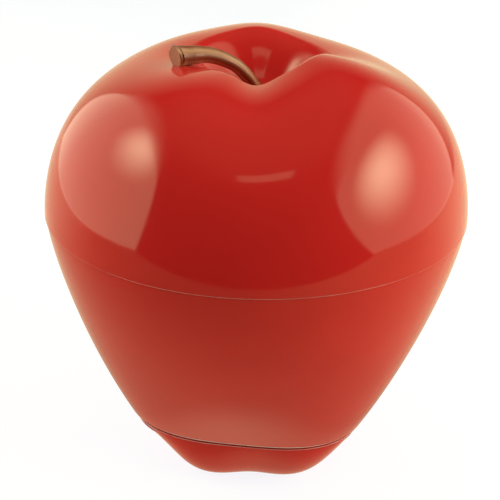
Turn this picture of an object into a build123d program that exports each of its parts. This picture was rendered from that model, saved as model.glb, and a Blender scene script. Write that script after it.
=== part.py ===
"""Apple-shaped peeler corer, in millimetres, +Z up, resting on z = 0 with its axis on Z.

The closed case is an apple in three mouldings: a core cup at the foot, a lower shell, and a dome
with a stem.  Twisting the dome on the lower shell turns the apple held inside, and a ring gear in
the dome drives a lead screw that lifts a sprung peeling arm past the turning apple.  Pressing the
dome down pushes the apple over a coring tube, and the core drops through it into the cup.
Azimuth 0 is the front (-Y) and grows towards +X.
"""
from build123d import *
import os
from math import acos, atan2, cos, degrees, exp, hypot, pi, radians, sin, tan

os.makedirs("parts", exist_ok=True)

# ---- outer form -------------------------------------------------------------------------------
SEAM_RADIUS = 99.5          # the apple at the seam between lower shell and dome
SEAM_HEIGHT = 135.0
BASE_RADIUS = 55.5          # mean radius where the lower shell meets the core cup
BASE_HEIGHT = 27.0
FLANK_POWER = 1.35          # how the flank swells from the base to the seam
CROWN_RADIUS = 35.0         # ridge of the crown around the dimple
CROWN_HEIGHT = 204.3
SHOULDER_POWER = 0.9        # fullness of the shoulder, outwards
RISE_POWER = 1.2            # fullness of the shoulder, upwards
CHEEK_SWELL = 2.0           # how far the cheeks bulge past the seam
DIMPLE_RADIUS = 9.0         # flat floor of the dimple
DIMPLE_DEPTH = 20.3         # from the crown's ridge down to the dimple's floor
DIMPLE_HEIGHT = CROWN_HEIGHT - DIMPLE_DEPTH
FOOT_RADIUS, FOOT_HEIGHT = 30.5, 0.8    # flat of the core cup's underside
CUP_POWER, CUP_DROP_POWER = 0.97, 1.73  # fullness of the cup, outwards and downwards

CROWN_LOBES = ((-34, 2.5), (49, 8.6), (180, 6.5))       # azimuth, extra height
CROWN_SHARPNESS = 7.8
NOTCH_AZIMUTH, NOTCH_DEPTH, NOTCH_SHARPNESS = -3, 3.5, 30
CHEEK_LOBES = ((-76, 0.217), (54, 0.179), (180, 0.074), (-4, -0.095))  # share of the base radius
CHEEK_SHARPNESS, CHEEK_MEAN = 4.2, 0.078
FOOT_LOBES, FOOT_SWELL, FOOT_BLEND_POWER = 5, 0.09, 1.67    # bumps around the underside
RING_POINTS = 30            # points in each ring that a lofted skin passes through
DOME_STATIONS = (0, 0.15, 0.3, 0.45, 0.6, 0.75, 0.9, 1, 1.25, 1.5, 1.75, 2)     # seam, ridge, floor
SHELL_STATIONS = (0, 0.2, 0.4, 0.6, 0.8, 1)                                     # base to seam

# ---- walls, gaps and fits ---------------------------------------------------------------------
WALL = 3.0                  # lower shell and dome
CUP_WALL = 2.5
SEAM_GAP = 0.3              # between the dome's edge and the lower shell
DOME_OVERHANG = 0.5         # the dome stands this far proud of the lower shell
CUP_RECESS = 0.6            # the core cup's rim stands back under the lower shell
GROOVE_HEIGHT = 0.8         # shadow groove above the core cup's rim
GAP = 0.3                   # between pieces that move past each other
RUNNING_GAP = 0.06          # a shaft in its bore, on the radius
SEAT_GAP = 0.02             # a piece pressed or screwed into its seat, on the radius
FLOAT = 0.3                 # end play beside collars and clips

# ---- core cup and lower shell -----------------------------------------------------------------
PAD_RADIUS, PAD_HEIGHT, PAD_CIRCLE = 4.5, 2.0, 24.0
COLLAR_INSET, COLLAR_WALL, COLLAR_HEIGHT = 2.6, 3.6, 4.5    # thick rim inside the core cup
SPIGOT_HEIGHT, SPIGOT_WALL = 3.5, 2.2                   # lower shell's locating rim in the collar
SHELL_FLOOR = 3.0
CHUTE_RADIUS = 23.0                                     # lower shell's hole for falling cores
LIP_INSET, LIP_WALL, LIP_HEIGHT = 4.0, 2.5, 8.0         # pilots the glide ring
LIP_RADIUS = SEAM_RADIUS - LIP_INSET
LIP_ROOT, LIP_BLEND = 7.0, 1.0                          # the lip's shoulder under the seam
KEY_COUNT, KEY_WIDTH, KEY_HEIGHT = 3, 7.0, 6.0

# ---- deck -------------------------------------------------------------------------------------
DECK_RISE, DECK_THICKNESS, DECK_BOSS_RISE = 14.0, 4.0, 2.0
DECK_HEIGHT = BASE_HEIGHT + DECK_RISE
DECK_INSET = 4.0            # from the lower shell's outer face in to the deck's edge
DECK_SCREW_CIRCLE, DECK_SCREW_COUNT, DECK_BOSS_RADIUS = 47.0, 4, 4.6
RIB_COUNT, RIB_WIDTH, RIB_DROP, RIB_END = 8, 2.4, 4.0, 43.0
SCREW_RADIUS, SCREW_HEAD_RADIUS, SCREW_HEAD = 1.5, 2.9, 2.2     # M3 pan head
BOSS_WALL = 2.4             # plastic around a socket

# ---- fork and coring tube ---------------------------------------------------------------------
TUBE_RADIUS, TUBE_WALL = 11.0, 0.8
TUBE_LOW = BASE_HEIGHT + 2 * SHELL_FLOOR                # just above the chute hole
TUBE_TEETH, TUBE_TOOTH = 10, 4.0
HUB_RADIUS, HUB_DROP = 14.5, 3.4
HUB_LOW = DECK_HEIGHT - HUB_DROP
BUSH_WALL, BUSH_FLANGE, BUSH_FLANGE_THICKNESS = 2.5, 3.0, 1.2
FORK_RADIUS, FORK_THICKNESS, FORK_DISH = 24.0, 3.6, 1.2
PRONG_COUNT, PRONG_CIRCLE, PRONG_WIDTH, PRONG_THICKNESS = 3, 16.2, 6.0, 1.4
PRONG_LENGTH, PRONG_ROOT = 10.0, 2.6
CLIP_THICKNESS, CLIP_GROOVE, CLIP_REACH = 1.0, 0.8, 3.0

# ---- gears, lead screw, guide rods and bearing plate --------------------------------------------
MODULE, RING_TEETH, PINION_TEETH = 2.0, 64, 12
GEAR_HEIGHT, GEAR_RISE, RING_RIM = 10.0, 1.6, 5.7
BACKLASH = 0.3              # taken off the thickness of every tooth
PRESSURE_ANGLE = 20.0
ADDENDUM, DEDENDUM = 0.8, 1.15                          # stub teeth, in modules
LEAD_AXIS = MODULE * (RING_TEETH - PINION_TEETH) / 2    # the screw's distance from the main axis
LEAD_RADIUS, JOURNAL_RADIUS = 4.0, 3.0
JOURNAL_BUSH_WALL, JOURNAL_BUSH_FLANGE = 2.0, 1.2
ROD_RADIUS, ROD_SPREAD, ROD_BACK, ROD_SOCKET = 3.0, 20.0, 50.0, 5.0
PLATE_RISE, PLATE_THICKNESS, PLATE_MARGIN, PLATE_CHAMFER = 9.0, 5.0, 4.0, 0.6
PLATE_LOW = SEAM_HEIGHT + PLATE_RISE
GEAR_LOW = PLATE_LOW + PLATE_THICKNESS + GEAR_RISE

# ---- carriage and peeling arm -------------------------------------------------------------------
CARRIAGE_RISE, CARRIAGE_HEIGHT, CARRIAGE_WEB = 9.0, 22.0, 5.0
CARRIAGE_LOW = DECK_HEIGHT + CARRIAGE_RISE
NUT_RADIUS, NUT_FLANGE_RADIUS, NUT_FLANGE = 5.6, 6.9, 1.4
GUIDE_WALL = 2.6
PIVOT = (34.0, 41.0)        # arm pivot, x and y
PIN_RADIUS, PIN_HEAD_RADIUS, PIN_HEAD = 2.0, 3.2, 1.2
EAR_RADIUS, EAR_THICKNESS = 4.6, 4.0
ARM_REACH, ARM_DEPTH, ARM_THICKNESS, ARM_HUB_RADIUS = 27.0, 8.0, 3.6, 4.4
ARM_HUB_HEIGHT, ARM_TIP_RADIUS = 10.0, 3.4
WEB_SHARE = 0.42            # how far the carriage's web runs out along its ears
SPRING_WIRE, SPRING_PITCH, SPRING_TURNS, SPRING_RADIUS = 0.6, 0.8, 3, 3.3
SPINDLE_RADIUS, SPINDLE_HOLE = 1.5, 8.0
HEAD_WIDTH, HEAD_HEIGHT, HEAD_THICKNESS, HEAD_BAR = 6.0, 15.0, 2.4, 1.3
BLADE_THICKNESS, BLADE_MARGIN, BLADE_SLOT, BLADE_EDGE = 0.6, 0.4, 1.4, 0.9

# ---- dome, glide ring and apple holder ----------------------------------------------------------
GLIDE_WALL, GLIDE_FLANGE, GLIDE_BEAD, GLIDE_SKIRT = 3.0, 2.5, 1.5, 10.0
GLIDE_MARGIN = 0.5          # flange inside the lip's outer radius
LEDGE_HEIGHT = 2.2          # dome's inner ledge, caught between the glide ring's flange and bead
LUG_COUNT, LUG_CIRCLE, LUG_RADIUS = 5, 75.0, 5.0        # ears that fasten the ring gear
SLEEVE_DROP, SLEEVE_HEIGHT = 7.0, 29.0
SLEEVE_TOP = DIMPLE_HEIGHT - SLEEVE_DROP
SLEEVE_LOW = SLEEVE_TOP - SLEEVE_HEIGHT
SLEEVE_RADIUS, SLEEVE_WALL, SLEEVE_FLANGE, SLEEVE_FLANGE_RADIUS = 16.0, 2.0, 3.0, 23.0
SLEEVE_SCREW_CIRCLE, SLEEVE_SCREW_COUNT = 19.4, 3
HOLDER_TRAVEL = 17.0
HOLDER_RADIUS, HOLDER_PLATE, HOLDER_DROP = 17.0, 4.0, 52.0
PISTON_DROP, PISTON_WALL = 21.0, 2.2                    # drops are below the sleeve's top
HOLDER_LOW = SLEEVE_TOP - HOLDER_DROP
PISTON_TOP = SLEEVE_TOP - PISTON_DROP
TUBE_TOP = HOLDER_LOW - HOLDER_PLATE                    # the tube ends under the holder
KEY_LUG_WIDTH, KEY_LUG_HEIGHT, KEY_LUG_DROP = 6.0, 3.0, 2.0
SPIKE_COUNT, SPIKE_CIRCLE, SPIKE_WIDTH, SPIKE_THICKNESS = 4, 14.0, 5.0, 1.2
SPIKE_LENGTH, SPIKE_ROOT = 7.0, 2.6
COIL_RADIUS, COIL_WIRE, COIL_TURNS = 9.0, 1.4, 5
SLEEVE_BOSS_RADIUS, SCREW_DEPTH, SLEEVE_HOLE_RADIUS = 3.8, 8.0, 5.0
STEM_PATH = ((0, 0, 0), (1.0, -0.5, 6), (-1.5, -2.5, 12), (-10, -5.5, 18.5), (-21, -9, 23),
             (-31, -13.5, 26.5), (-36.5, -16.5, 28))     # from the dimple's floor
STEM_RADII = (3.8, 3.0, 2.6, 2.5, 2.7, 3.3, 4.4)
STEM_FOOT_RADIUS, STEM_FOOT = 5.4, 1.6
STEM_CUT = (-0.75, -0.62, -0.2)         # direction that the blunt end faces


# ---- helpers --------------------------------------------------------------------------------------
def rod(radius, low, high, at=(0, 0)):
    """A round bar between two heights."""
    bar = Cylinder(radius, high - low, align=(Align.CENTER, Align.CENTER, Align.MIN))
    return Pos(at[0], at[1], low) * bar


def block(width, depth, low, high, at=(0, 0), turn=0):
    """A rectangular bar between two heights, turned about its own centre."""
    body = Box(width, depth, high - low, align=(Align.CENTER, Align.CENTER, Align.MIN))
    return Pos(at[0], at[1], low) * Rot(0, 0, turn) * body


def turned(*points):
    """A solid of revolution from a closed outline of (radius, height) points."""
    outline = Plane.XZ * make_face(Polyline(*points, close=True))
    return revolve(outline, Axis.Z)


def prism(points, low, high):
    """An upright prism from a closed outline of (x, y) points."""
    return Pos(0, 0, low) * extrude(make_face(Polyline(*points, close=True)), high - low)


def around(count, radius, start=0.0):
    """Points on a circle about the axis, from an azimuth."""
    angles = [radians(start + 360 * i / count) for i in range(count)]
    return [(radius * sin(a), -radius * cos(a)) for a in angles]


def strap(radius, places, low, high):
    """A plate that wraps a chain of equal round bosses given as (x, y), like a belt of links."""
    plate = rod(radius, low, high, places[0])
    for (x0, y0), (x1, y1) in zip(places, places[1:]):
        turn = degrees(atan2(y1 - y0, x1 - x0))
        middle = ((x0 + x1) / 2, (y0 + y1) / 2)
        plate += block(hypot(x1 - x0, y1 - y0), 2 * radius, low, high, middle, turn)
        plate += rod(radius, low, high, (x1, y1))
    return plate


def blade_point(width, thickness, root, shoulder, tip):
    """A flat steel point in the XZ plane: straight from root to shoulder, then tapering to a tip."""
    half = width / 2
    outline = make_face(Polyline((-half, root), (half, root), (half, shoulder), (0, tip),
                                 (-half, shoulder), close=True))
    return extrude(Plane.XZ * outline, thickness / 2, both=True)


def pan_screw(at, seat, length, up=True):
    """An M3 pan-head screw whose head lies under its seat (up) or on top of it."""
    way = 1 if up else -1
    shank = rod(SCREW_RADIUS, *sorted((seat, seat + way * length)), at)
    head = rod(SCREW_HEAD_RADIUS, *sorted((seat, seat - way * SCREW_HEAD)), at)
    return shank + head


# ---- the apple's surface ----------------------------------------------------------------------------
def bump(azimuth, centre, sharpness):
    """A smooth swelling of height 1 around one azimuth."""
    return exp(sharpness * (cos(radians(azimuth - centre)) - 1))


def crown_height(azimuth):
    """Height of the crown's ridge, or its mean, from which wall offsets are taken."""
    if azimuth is None:
        return CROWN_HEIGHT
    lobes = sum(height * bump(azimuth, at, CROWN_SHARPNESS) for at, height in CROWN_LOBES)
    return CROWN_HEIGHT + lobes - NOTCH_DEPTH * bump(azimuth, NOTCH_AZIMUTH, NOTCH_SHARPNESS)


def cheek_swell(azimuth):
    """How much wider than round the apple is at its base seam."""
    if azimuth is None:
        return 0.0
    return sum(share * bump(azimuth, at, CHEEK_SHARPNESS) for at, share in CHEEK_LOBES) - CHEEK_MEAN


def dome_profile(azimuth, along):
    """Radius and height of the dome: 0 is its edge, 1 the crown's ridge, 2 the dimple's floor."""
    crown = crown_height(azimuth)
    if along <= 1:
        angle = along * pi / 2
        edge = SEAM_HEIGHT + SEAM_GAP
        swell = CHEEK_SWELL * sin(pi * along) ** 2
        width = (SEAM_RADIUS - CROWN_RADIUS) * max(cos(angle), 0.0) ** SHOULDER_POWER
        return CROWN_RADIUS + width + swell, edge + (crown - edge) * sin(angle) ** RISE_POWER
    fall = along - 1
    radius = CROWN_RADIUS + (DIMPLE_RADIUS - CROWN_RADIUS) * fall
    return radius, crown - (crown - DIMPLE_HEIGHT) * (1 - cos(pi * fall)) / 2


def flank_profile(azimuth, along):
    """Radius and height of the lower shell: 0 is its base, 1 the seam with the dome."""
    top = SEAM_RADIUS - DOME_OVERHANG
    radius = top - (top - BASE_RADIUS) * (1 - along) ** FLANK_POWER
    height = BASE_HEIGHT + (SEAM_HEIGHT - BASE_HEIGHT) * along
    return radius * (1 + cheek_swell(azimuth) * (1 - along) ** 2), height


def cup_profile(azimuth, along):
    """Radius and height of the core cup: 0 is the flat of its underside, 1 its rim."""
    angle = (1 - along) * pi / 2
    rim = BASE_RADIUS - CUP_RECESS
    radius = FOOT_RADIUS + (rim - FOOT_RADIUS) * max(cos(angle), 0.0) ** CUP_POWER
    foot_share = sin(angle) ** FOOT_BLEND_POWER
    bumps = 0.0 if azimuth is None else -FOOT_SWELL * cos(radians(FOOT_LOBES * azimuth))
    swell = cheek_swell(azimuth) * (1 - foot_share) + bumps * foot_share
    top = BASE_HEIGHT - GROOVE_HEIGHT
    return radius * (1 + swell), top - (top - FOOT_HEIGHT) * sin(angle) ** CUP_DROP_POWER


def wall_step(profile, along, wall):
    """The step, in radius and height, from a surface to the inside of its wall."""
    ahead = 1e-3 if along < 0.5 else -1e-3
    radius, height = profile(None, along)
    next_radius, next_height = profile(None, along + ahead)
    run, rise = (next_radius - radius) / ahead, (next_height - height) / ahead
    share = wall / hypot(run, rise)
    return -rise * share, run * share


def closed_curve(spots):
    """A smooth closed wire through points given as azimuth, radius and height."""
    points = [Vector(r * sin(radians(a)), -r * cos(radians(a)), z) for a, r, z in spots]
    return Wire([Edge.make_spline(points, periodic=True)])


def skin(profile, stations, wall=0.0):
    """The solid inside a surface, or inside its wall, lofted through rings at some stations."""
    rings = []
    for along in stations:
        out, up = wall_step(profile, along, wall)
        spots = []
        for i in range(RING_POINTS):
            azimuth = 360 * i / RING_POINTS
            radius, height = profile(azimuth, along)
            spots.append((azimuth, radius + out, height + up))
        rings.append(closed_curve(spots))
    return Part() + Solid.make_loft(rings)


def lobed_plate(outline_height, inward, low, high):
    """A plate with the lower shell's outline at one height, moved straight inwards."""
    along = (outline_height - BASE_HEIGHT) / (SEAM_HEIGHT - BASE_HEIGHT)
    spots = []
    for i in range(RING_POINTS):
        azimuth = 360 * i / RING_POINTS
        spots.append((azimuth, flank_profile(azimuth, along)[0] - inward, low))
    return extrude(Face(closed_curve(spots)), high - low, dir=(0, 0, 1))


# ---- core cup -------------------------------------------------------------------------------------
def pad_places():
    """Centres of the rubber pads, one under each bump of the foot."""
    return around(FOOT_LOBES, PAD_CIRCLE, 180 / FOOT_LOBES)


def make_core_cup():
    """Lobed bowl with a thick collar at its rim, which the lower shell stands on."""
    bowl = skin(cup_profile, SHELL_STATIONS) - skin(cup_profile, SHELL_STATIONS, CUP_WALL)
    low = BASE_HEIGHT - COLLAR_HEIGHT
    collar = lobed_plate(BASE_HEIGHT, COLLAR_INSET, low, BASE_HEIGHT)
    collar -= lobed_plate(BASE_HEIGHT, COLLAR_INSET + COLLAR_WALL, low, BASE_HEIGHT)
    cup = bowl + collar
    for at in pad_places():
        cup -= rod(PAD_RADIUS + SEAT_GAP, 0, PAD_HEIGHT, at)
    return cup


def make_foot_pads():
    """Rubber pads pressed into the foot."""
    return [rod(PAD_RADIUS, 0, PAD_HEIGHT, at) for at in pad_places()]


# ---- lower shell ------------------------------------------------------------------------------------
def deck_screw_places():
    return around(DECK_SCREW_COUNT, DECK_SCREW_CIRCLE, 180 / DECK_SCREW_COUNT)


def make_lower_shell():
    """Tapering shell with a floor, a chute hole, deck bosses, a spigot and a piloting lip."""
    floor = BASE_HEIGHT + SHELL_FLOOR
    cavity = skin(flank_profile, SHELL_STATIONS, WALL) & rod(2 * SEAM_RADIUS, floor, CROWN_HEIGHT)
    shell = skin(flank_profile, SHELL_STATIONS) - cavity
    inner = LIP_RADIUS - LIP_WALL
    root, top = SEAM_HEIGHT - LIP_ROOT, SEAM_HEIGHT + LIP_HEIGHT
    blend = LIP_RADIUS + LIP_BLEND
    shell += turned((inner, root), (blend, root - LIP_ROOT / 2), (blend, SEAM_HEIGHT),
                    (LIP_RADIUS, SEAM_HEIGHT), (LIP_RADIUS, top), (inner, top))
    inset = COLLAR_INSET + COLLAR_WALL + GAP
    spigot = lobed_plate(BASE_HEIGHT, inset, BASE_HEIGHT - SPIGOT_HEIGHT, floor)
    spigot -= lobed_plate(BASE_HEIGHT, inset + SPIGOT_WALL, BASE_HEIGHT - SPIGOT_HEIGHT, BASE_HEIGHT)
    shell = shell + spigot - rod(CHUTE_RADIUS, BASE_HEIGHT - SPIGOT_HEIGHT, floor)
    for at in deck_screw_places():
        shell += rod(DECK_BOSS_RADIUS, BASE_HEIGHT, DECK_HEIGHT, at)
        shell -= rod(SCREW_RADIUS + SEAT_GAP, floor, DECK_HEIGHT, at)
    for i in range(KEY_COUNT):
        notch = block(KEY_WIDTH, 3 * LIP_WALL, top - KEY_HEIGHT, top, (0, LIP_RADIUS))
        shell -= Rot(0, 0, 360 * i / KEY_COUNT) * notch
    return shell


# ---- deck, bushes, guide rods and bearing plate -----------------------------------------------------
def guide_places():
    """Centres of the two guide rods, left and right of the lead screw."""
    return [(-ROD_SPREAD, ROD_BACK), (ROD_SPREAD, ROD_BACK)]


def make_deck():
    """Lobed chassis plate: bearing hub, ribs, sockets for the guide rods and the screw's bush."""
    top = DECK_HEIGHT + DECK_THICKNESS
    bore = HUB_RADIUS + RUNNING_GAP + BUSH_WALL + SEAT_GAP
    rib_low = DECK_HEIGHT - RIB_DROP
    rib_start = bore + BOSS_WALL / 2
    boss_top = top + DECK_BOSS_RISE
    deck = lobed_plate(DECK_HEIGHT, DECK_INSET, DECK_HEIGHT, top)
    deck += rod(bore + BOSS_WALL, DECK_HEIGHT - CLIP_THICKNESS, top)
    for i in range(RIB_COUNT):
        rib = block(RIB_WIDTH, RIB_END - rib_start, rib_low, top, (0, -(RIB_END + rib_start) / 2))
        deck += Rot(0, 0, 360 * (i + 0.5) / RIB_COUNT) * rib
    for at in guide_places():
        deck += rod(ROD_RADIUS + BOSS_WALL, DECK_HEIGHT, boss_top, at)
        deck -= rod(ROD_RADIUS + SEAT_GAP, boss_top - ROD_SOCKET, boss_top, at)
    deck -= rod(JOURNAL_RADIUS + RUNNING_GAP + JOURNAL_BUSH_WALL + SEAT_GAP, 0, top, (0, LEAD_AXIS))
    deck -= rod(bore, 0, top)
    for at in deck_screw_places():
        deck -= rod(SCREW_RADIUS + GAP, 0, top, at)
    return deck


def make_deck_bush():
    """Flanged acetal bush in which the fork's hub turns."""
    top = DECK_HEIGHT + DECK_THICKNESS
    inner = HUB_RADIUS + RUNNING_GAP
    outer = inner + BUSH_WALL
    return turned((inner, DECK_HEIGHT - CLIP_THICKNESS), (outer, DECK_HEIGHT - CLIP_THICKNESS),
                  (outer, top), (outer + BUSH_FLANGE, top),
                  (outer + BUSH_FLANGE, top + BUSH_FLANGE_THICKNESS),
                  (inner, top + BUSH_FLANGE_THICKNESS))


def make_screw_bushes():
    """The lead screw's two flanged bushes, their flanges facing the threaded length."""
    inner = JOURNAL_RADIUS + RUNNING_GAP
    outer = inner + JOURNAL_BUSH_WALL
    deck_top = DECK_HEIGHT + DECK_THICKNESS
    bushes = []
    for seat, way, depth in ((deck_top, -1, DECK_THICKNESS), (PLATE_LOW, 1, PLATE_THICKNESS)):
        flange = seat - way * JOURNAL_BUSH_FLANGE
        end = seat + way * depth
        bush = turned((inner, flange), (outer + JOURNAL_BUSH_WALL / 2, flange),
                      (outer + JOURNAL_BUSH_WALL / 2, seat), (outer, seat), (outer, end),
                      (inner, end))
        bushes.append(Pos(0, LEAD_AXIS, 0) * bush)
    return bushes


def make_guide_rods():
    """Two steel rods from the deck's sockets to the bearing plate, bored for its screws."""
    low = DECK_HEIGHT + DECK_THICKNESS + DECK_BOSS_RISE - ROD_SOCKET
    return [rod(ROD_RADIUS, low, PLATE_LOW, at)
            - rod(SCREW_RADIUS + SEAT_GAP, PLATE_LOW - SCREW_DEPTH - SCREW_RADIUS, PLATE_LOW, at)
            for at in guide_places()]


def make_bearing_plate():
    """Top plate screwed on the guide rods, with the lead screw's upper bush and two ribs."""
    left, right = guide_places()
    lead = (0, LEAD_AXIS)
    high = PLATE_LOW + PLATE_THICKNESS
    plate = strap(ROD_RADIUS + PLATE_MARGIN, [left, lead, right], PLATE_LOW, high)
    bush = JOURNAL_RADIUS + RUNNING_GAP + JOURNAL_BUSH_WALL
    plate = chamfer(plate.faces().sort_by(Axis.Z)[-1].edges(), PLATE_CHAMFER)
    plate -= rod(bush + SEAT_GAP, PLATE_LOW, high, lead)
    for at in guide_places():
        plate -= rod(SCREW_RADIUS + GAP, PLATE_LOW, high, at)
    return plate


# ---- fork, prongs and coring tube ---------------------------------------------------------------------
def fork_levels():
    """Underside and top of the fork's disc."""
    low = DECK_HEIGHT + DECK_THICKNESS + BUSH_FLANGE_THICKNESS + FLOAT
    return low, low + FORK_THICKNESS


def make_fork():
    """Hub and dished disc that carry the prongs and the coring tube."""
    low, high = fork_levels()
    clip_top = DECK_HEIGHT - CLIP_THICKNESS - FLOAT
    groove = HUB_RADIUS - CLIP_GROOVE
    fork = turned((TUBE_RADIUS + SEAT_GAP, HUB_LOW), (HUB_RADIUS, HUB_LOW),
                  (HUB_RADIUS, clip_top - CLIP_THICKNESS), (groove, clip_top - CLIP_THICKNESS),
                  (groove, clip_top), (HUB_RADIUS, clip_top), (HUB_RADIUS, low),
                  (FORK_RADIUS - FORK_DISH, low), (FORK_RADIUS, low + FORK_DISH),
                  (FORK_RADIUS, high), (FORK_RADIUS - FORK_DISH, high),
                  (HUB_RADIUS + 2 * FORK_DISH, high - FORK_DISH / 2),
                  (TUBE_RADIUS + SEAT_GAP, high - FORK_DISH / 2))
    for i in range(PRONG_COUNT):
        slot = block(PRONG_WIDTH + 2 * SEAT_GAP, PRONG_THICKNESS + 2 * SEAT_GAP,
                     high - FORK_DISH / 2 - PRONG_ROOT, high, (0, -PRONG_CIRCLE))
        fork -= Rot(0, 0, 360 * i / PRONG_COUNT) * slot
    return fork


def make_prongs():
    """Pointed steel blades that the foot of the apple is pressed onto."""
    seat = fork_levels()[1] - FORK_DISH / 2
    tip = seat + PRONG_LENGTH
    prong = blade_point(PRONG_WIDTH, PRONG_THICKNESS, seat - PRONG_ROOT, tip - PRONG_WIDTH, tip)
    prong = Pos(0, -PRONG_CIRCLE, 0) * prong
    return [Rot(0, 0, 360 * i / PRONG_COUNT) * prong for i in range(PRONG_COUNT)]


def make_coring_tube():
    """Steel tube open at both ends, its top edge cut into teeth."""
    wall = rod(TUBE_RADIUS, TUBE_LOW, TUBE_TOP) - rod(TUBE_RADIUS - TUBE_WALL, TUBE_LOW, TUBE_TOP)
    half = pi * TUBE_RADIUS / TUBE_TEETH
    gash = make_face(Polyline((-half, TUBE_TOP), (0, TUBE_TOP - TUBE_TOOTH), (half, TUBE_TOP),
                              close=True))
    gash = extrude(Plane.XZ * gash, 2 * TUBE_RADIUS, both=True)
    for i in range(TUBE_TEETH // 2):
        wall -= Rot(0, 0, 360 * i / TUBE_TEETH) * gash
    return wall


def make_clip(radius, groove, high, at=(0, 0), mouth=60):
    """An open retaining clip that sits in a shaft's groove."""
    low = high - CLIP_THICKNESS
    clip = rod(radius + CLIP_REACH, low, high) - rod(radius - groove + SEAT_GAP, low, high)
    reach = 2 * radius + CLIP_REACH
    wedge = prism([(0, 0), (reach * cos(radians(90 + mouth / 2)), reach * sin(radians(90 + mouth / 2))),
                   (reach * cos(radians(90 - mouth / 2)), reach * sin(radians(90 - mouth / 2)))],
                  low, high)
    return Pos(at[0], at[1], 0) * (clip - wedge)


# ---- gears and lead screw -------------------------------------------------------------------------------
def involute_lean(teeth, radius):
    """How far an involute flank has leaned, as an angle, from its place on the pitch circle."""
    base = MODULE * teeth / 2 * cos(radians(PRESSURE_ANGLE))
    steep = acos(min(base / radius, 1.0))
    pitch_steep = radians(PRESSURE_ANGLE)
    return (tan(pitch_steep) - pitch_steep) - (tan(steep) - steep)


def gear_outline(teeth, radii, inward):
    """Closed outline of involute teeth, pointing outwards or, in a ring gear, inwards."""
    play = BACKLASH / (MODULE * teeth)
    side = -1 if inward else 1
    points = []
    for i in range(teeth):
        centre = pi / 2 + 2 * pi * (i + (0.5 if inward else 0)) / teeth
        halves = [pi / (2 * teeth) - play + side * involute_lean(teeth, r) for r in radii]
        flank = list(zip(halves, radii))
        for way, steps in ((-1, flank), (1, flank[::-1])):
            points += [(r * cos(centre + way * h), r * sin(centre + way * h)) for h, r in steps]
    return points


def make_pinion():
    """Spur pinion on the lead screw's top end, with a raised hub."""
    pitch = MODULE * PINION_TEETH / 2
    tip, root = pitch + ADDENDUM * MODULE, pitch - DEDENDUM * MODULE
    outline = gear_outline(PINION_TEETH, (root, (root + pitch) / 2, pitch, tip), False)
    gear = prism(outline, GEAR_LOW, GEAR_LOW + GEAR_HEIGHT)
    gear += rod(JOURNAL_RADIUS + BOSS_WALL, PLATE_LOW + PLATE_THICKNESS + FLOAT, GEAR_LOW)
    return Pos(0, LEAD_AXIS, 0) * (gear - rod(JOURNAL_RADIUS + SEAT_GAP, 0, CROWN_HEIGHT))


def make_ring_gear():
    """Internal gear under the dome, with ears for its screws."""
    pitch = MODULE * RING_TEETH / 2
    tip, root = pitch - ADDENDUM * MODULE, pitch + DEDENDUM * MODULE
    high = GEAR_LOW + GEAR_HEIGHT
    body = rod(root + RING_RIM, GEAR_LOW, high)
    ear_low = high - GEAR_HEIGHT / 2
    for at in around(LUG_COUNT, LUG_CIRCLE, 180 / LUG_COUNT):
        body += rod(LUG_RADIUS, ear_low, high, at)
    for at in around(LUG_COUNT, LUG_CIRCLE, 180 / LUG_COUNT):
        body -= rod(SCREW_RADIUS + GAP, ear_low, high, at)
        body -= rod(SCREW_HEAD_RADIUS + GAP, GEAR_LOW, ear_low, at)
    return body - prism(gear_outline(RING_TEETH, (root, tip), True), GEAR_LOW, high)


def make_lead_screw():
    """Steel screw on plain journals; its thread is drawn as the thread's outer cylinder."""
    low = DECK_HEIGHT + DECK_THICKNESS + JOURNAL_BUSH_FLANGE + FLOAT
    high = PLATE_LOW - JOURNAL_BUSH_FLANGE - FLOAT
    foot = DECK_HEIGHT
    clip_low = GEAR_LOW + GEAR_HEIGHT + FLOAT / 2
    groove = JOURNAL_RADIUS - CLIP_GROOVE
    screw = turned((0, foot), (JOURNAL_RADIUS, foot), (JOURNAL_RADIUS, low),
                   (LEAD_RADIUS, low + LEAD_RADIUS - JOURNAL_RADIUS),
                   (LEAD_RADIUS, high - LEAD_RADIUS + JOURNAL_RADIUS), (JOURNAL_RADIUS, high),
                   (JOURNAL_RADIUS, clip_low), (groove, clip_low),
                   (groove, clip_low + CLIP_THICKNESS), (JOURNAL_RADIUS, clip_low + CLIP_THICKNESS),
                   (JOURNAL_RADIUS, clip_low + 2 * CLIP_THICKNESS), (0, clip_low + 2 * CLIP_THICKNESS))
    return Pos(0, LEAD_AXIS, 0) * screw


# ---- carriage and peeling arm -----------------------------------------------------------------------------
def arm_levels():
    """Underside and top of the arm's hub, midway between the carriage's ears."""
    low = CARRIAGE_LOW + EAR_THICKNESS + FLOAT
    return low, low + ARM_HUB_HEIGHT


def ear_levels():
    """The two ears that hold the arm's pin, as (low, high) pairs."""
    low = CARRIAGE_LOW
    upper = arm_levels()[1] + SPRING_TURNS * SPRING_PITCH + SPRING_WIRE + 2 * FLOAT
    return (low, low + EAR_THICKNESS), (upper, upper + EAR_THICKNESS)


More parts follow.
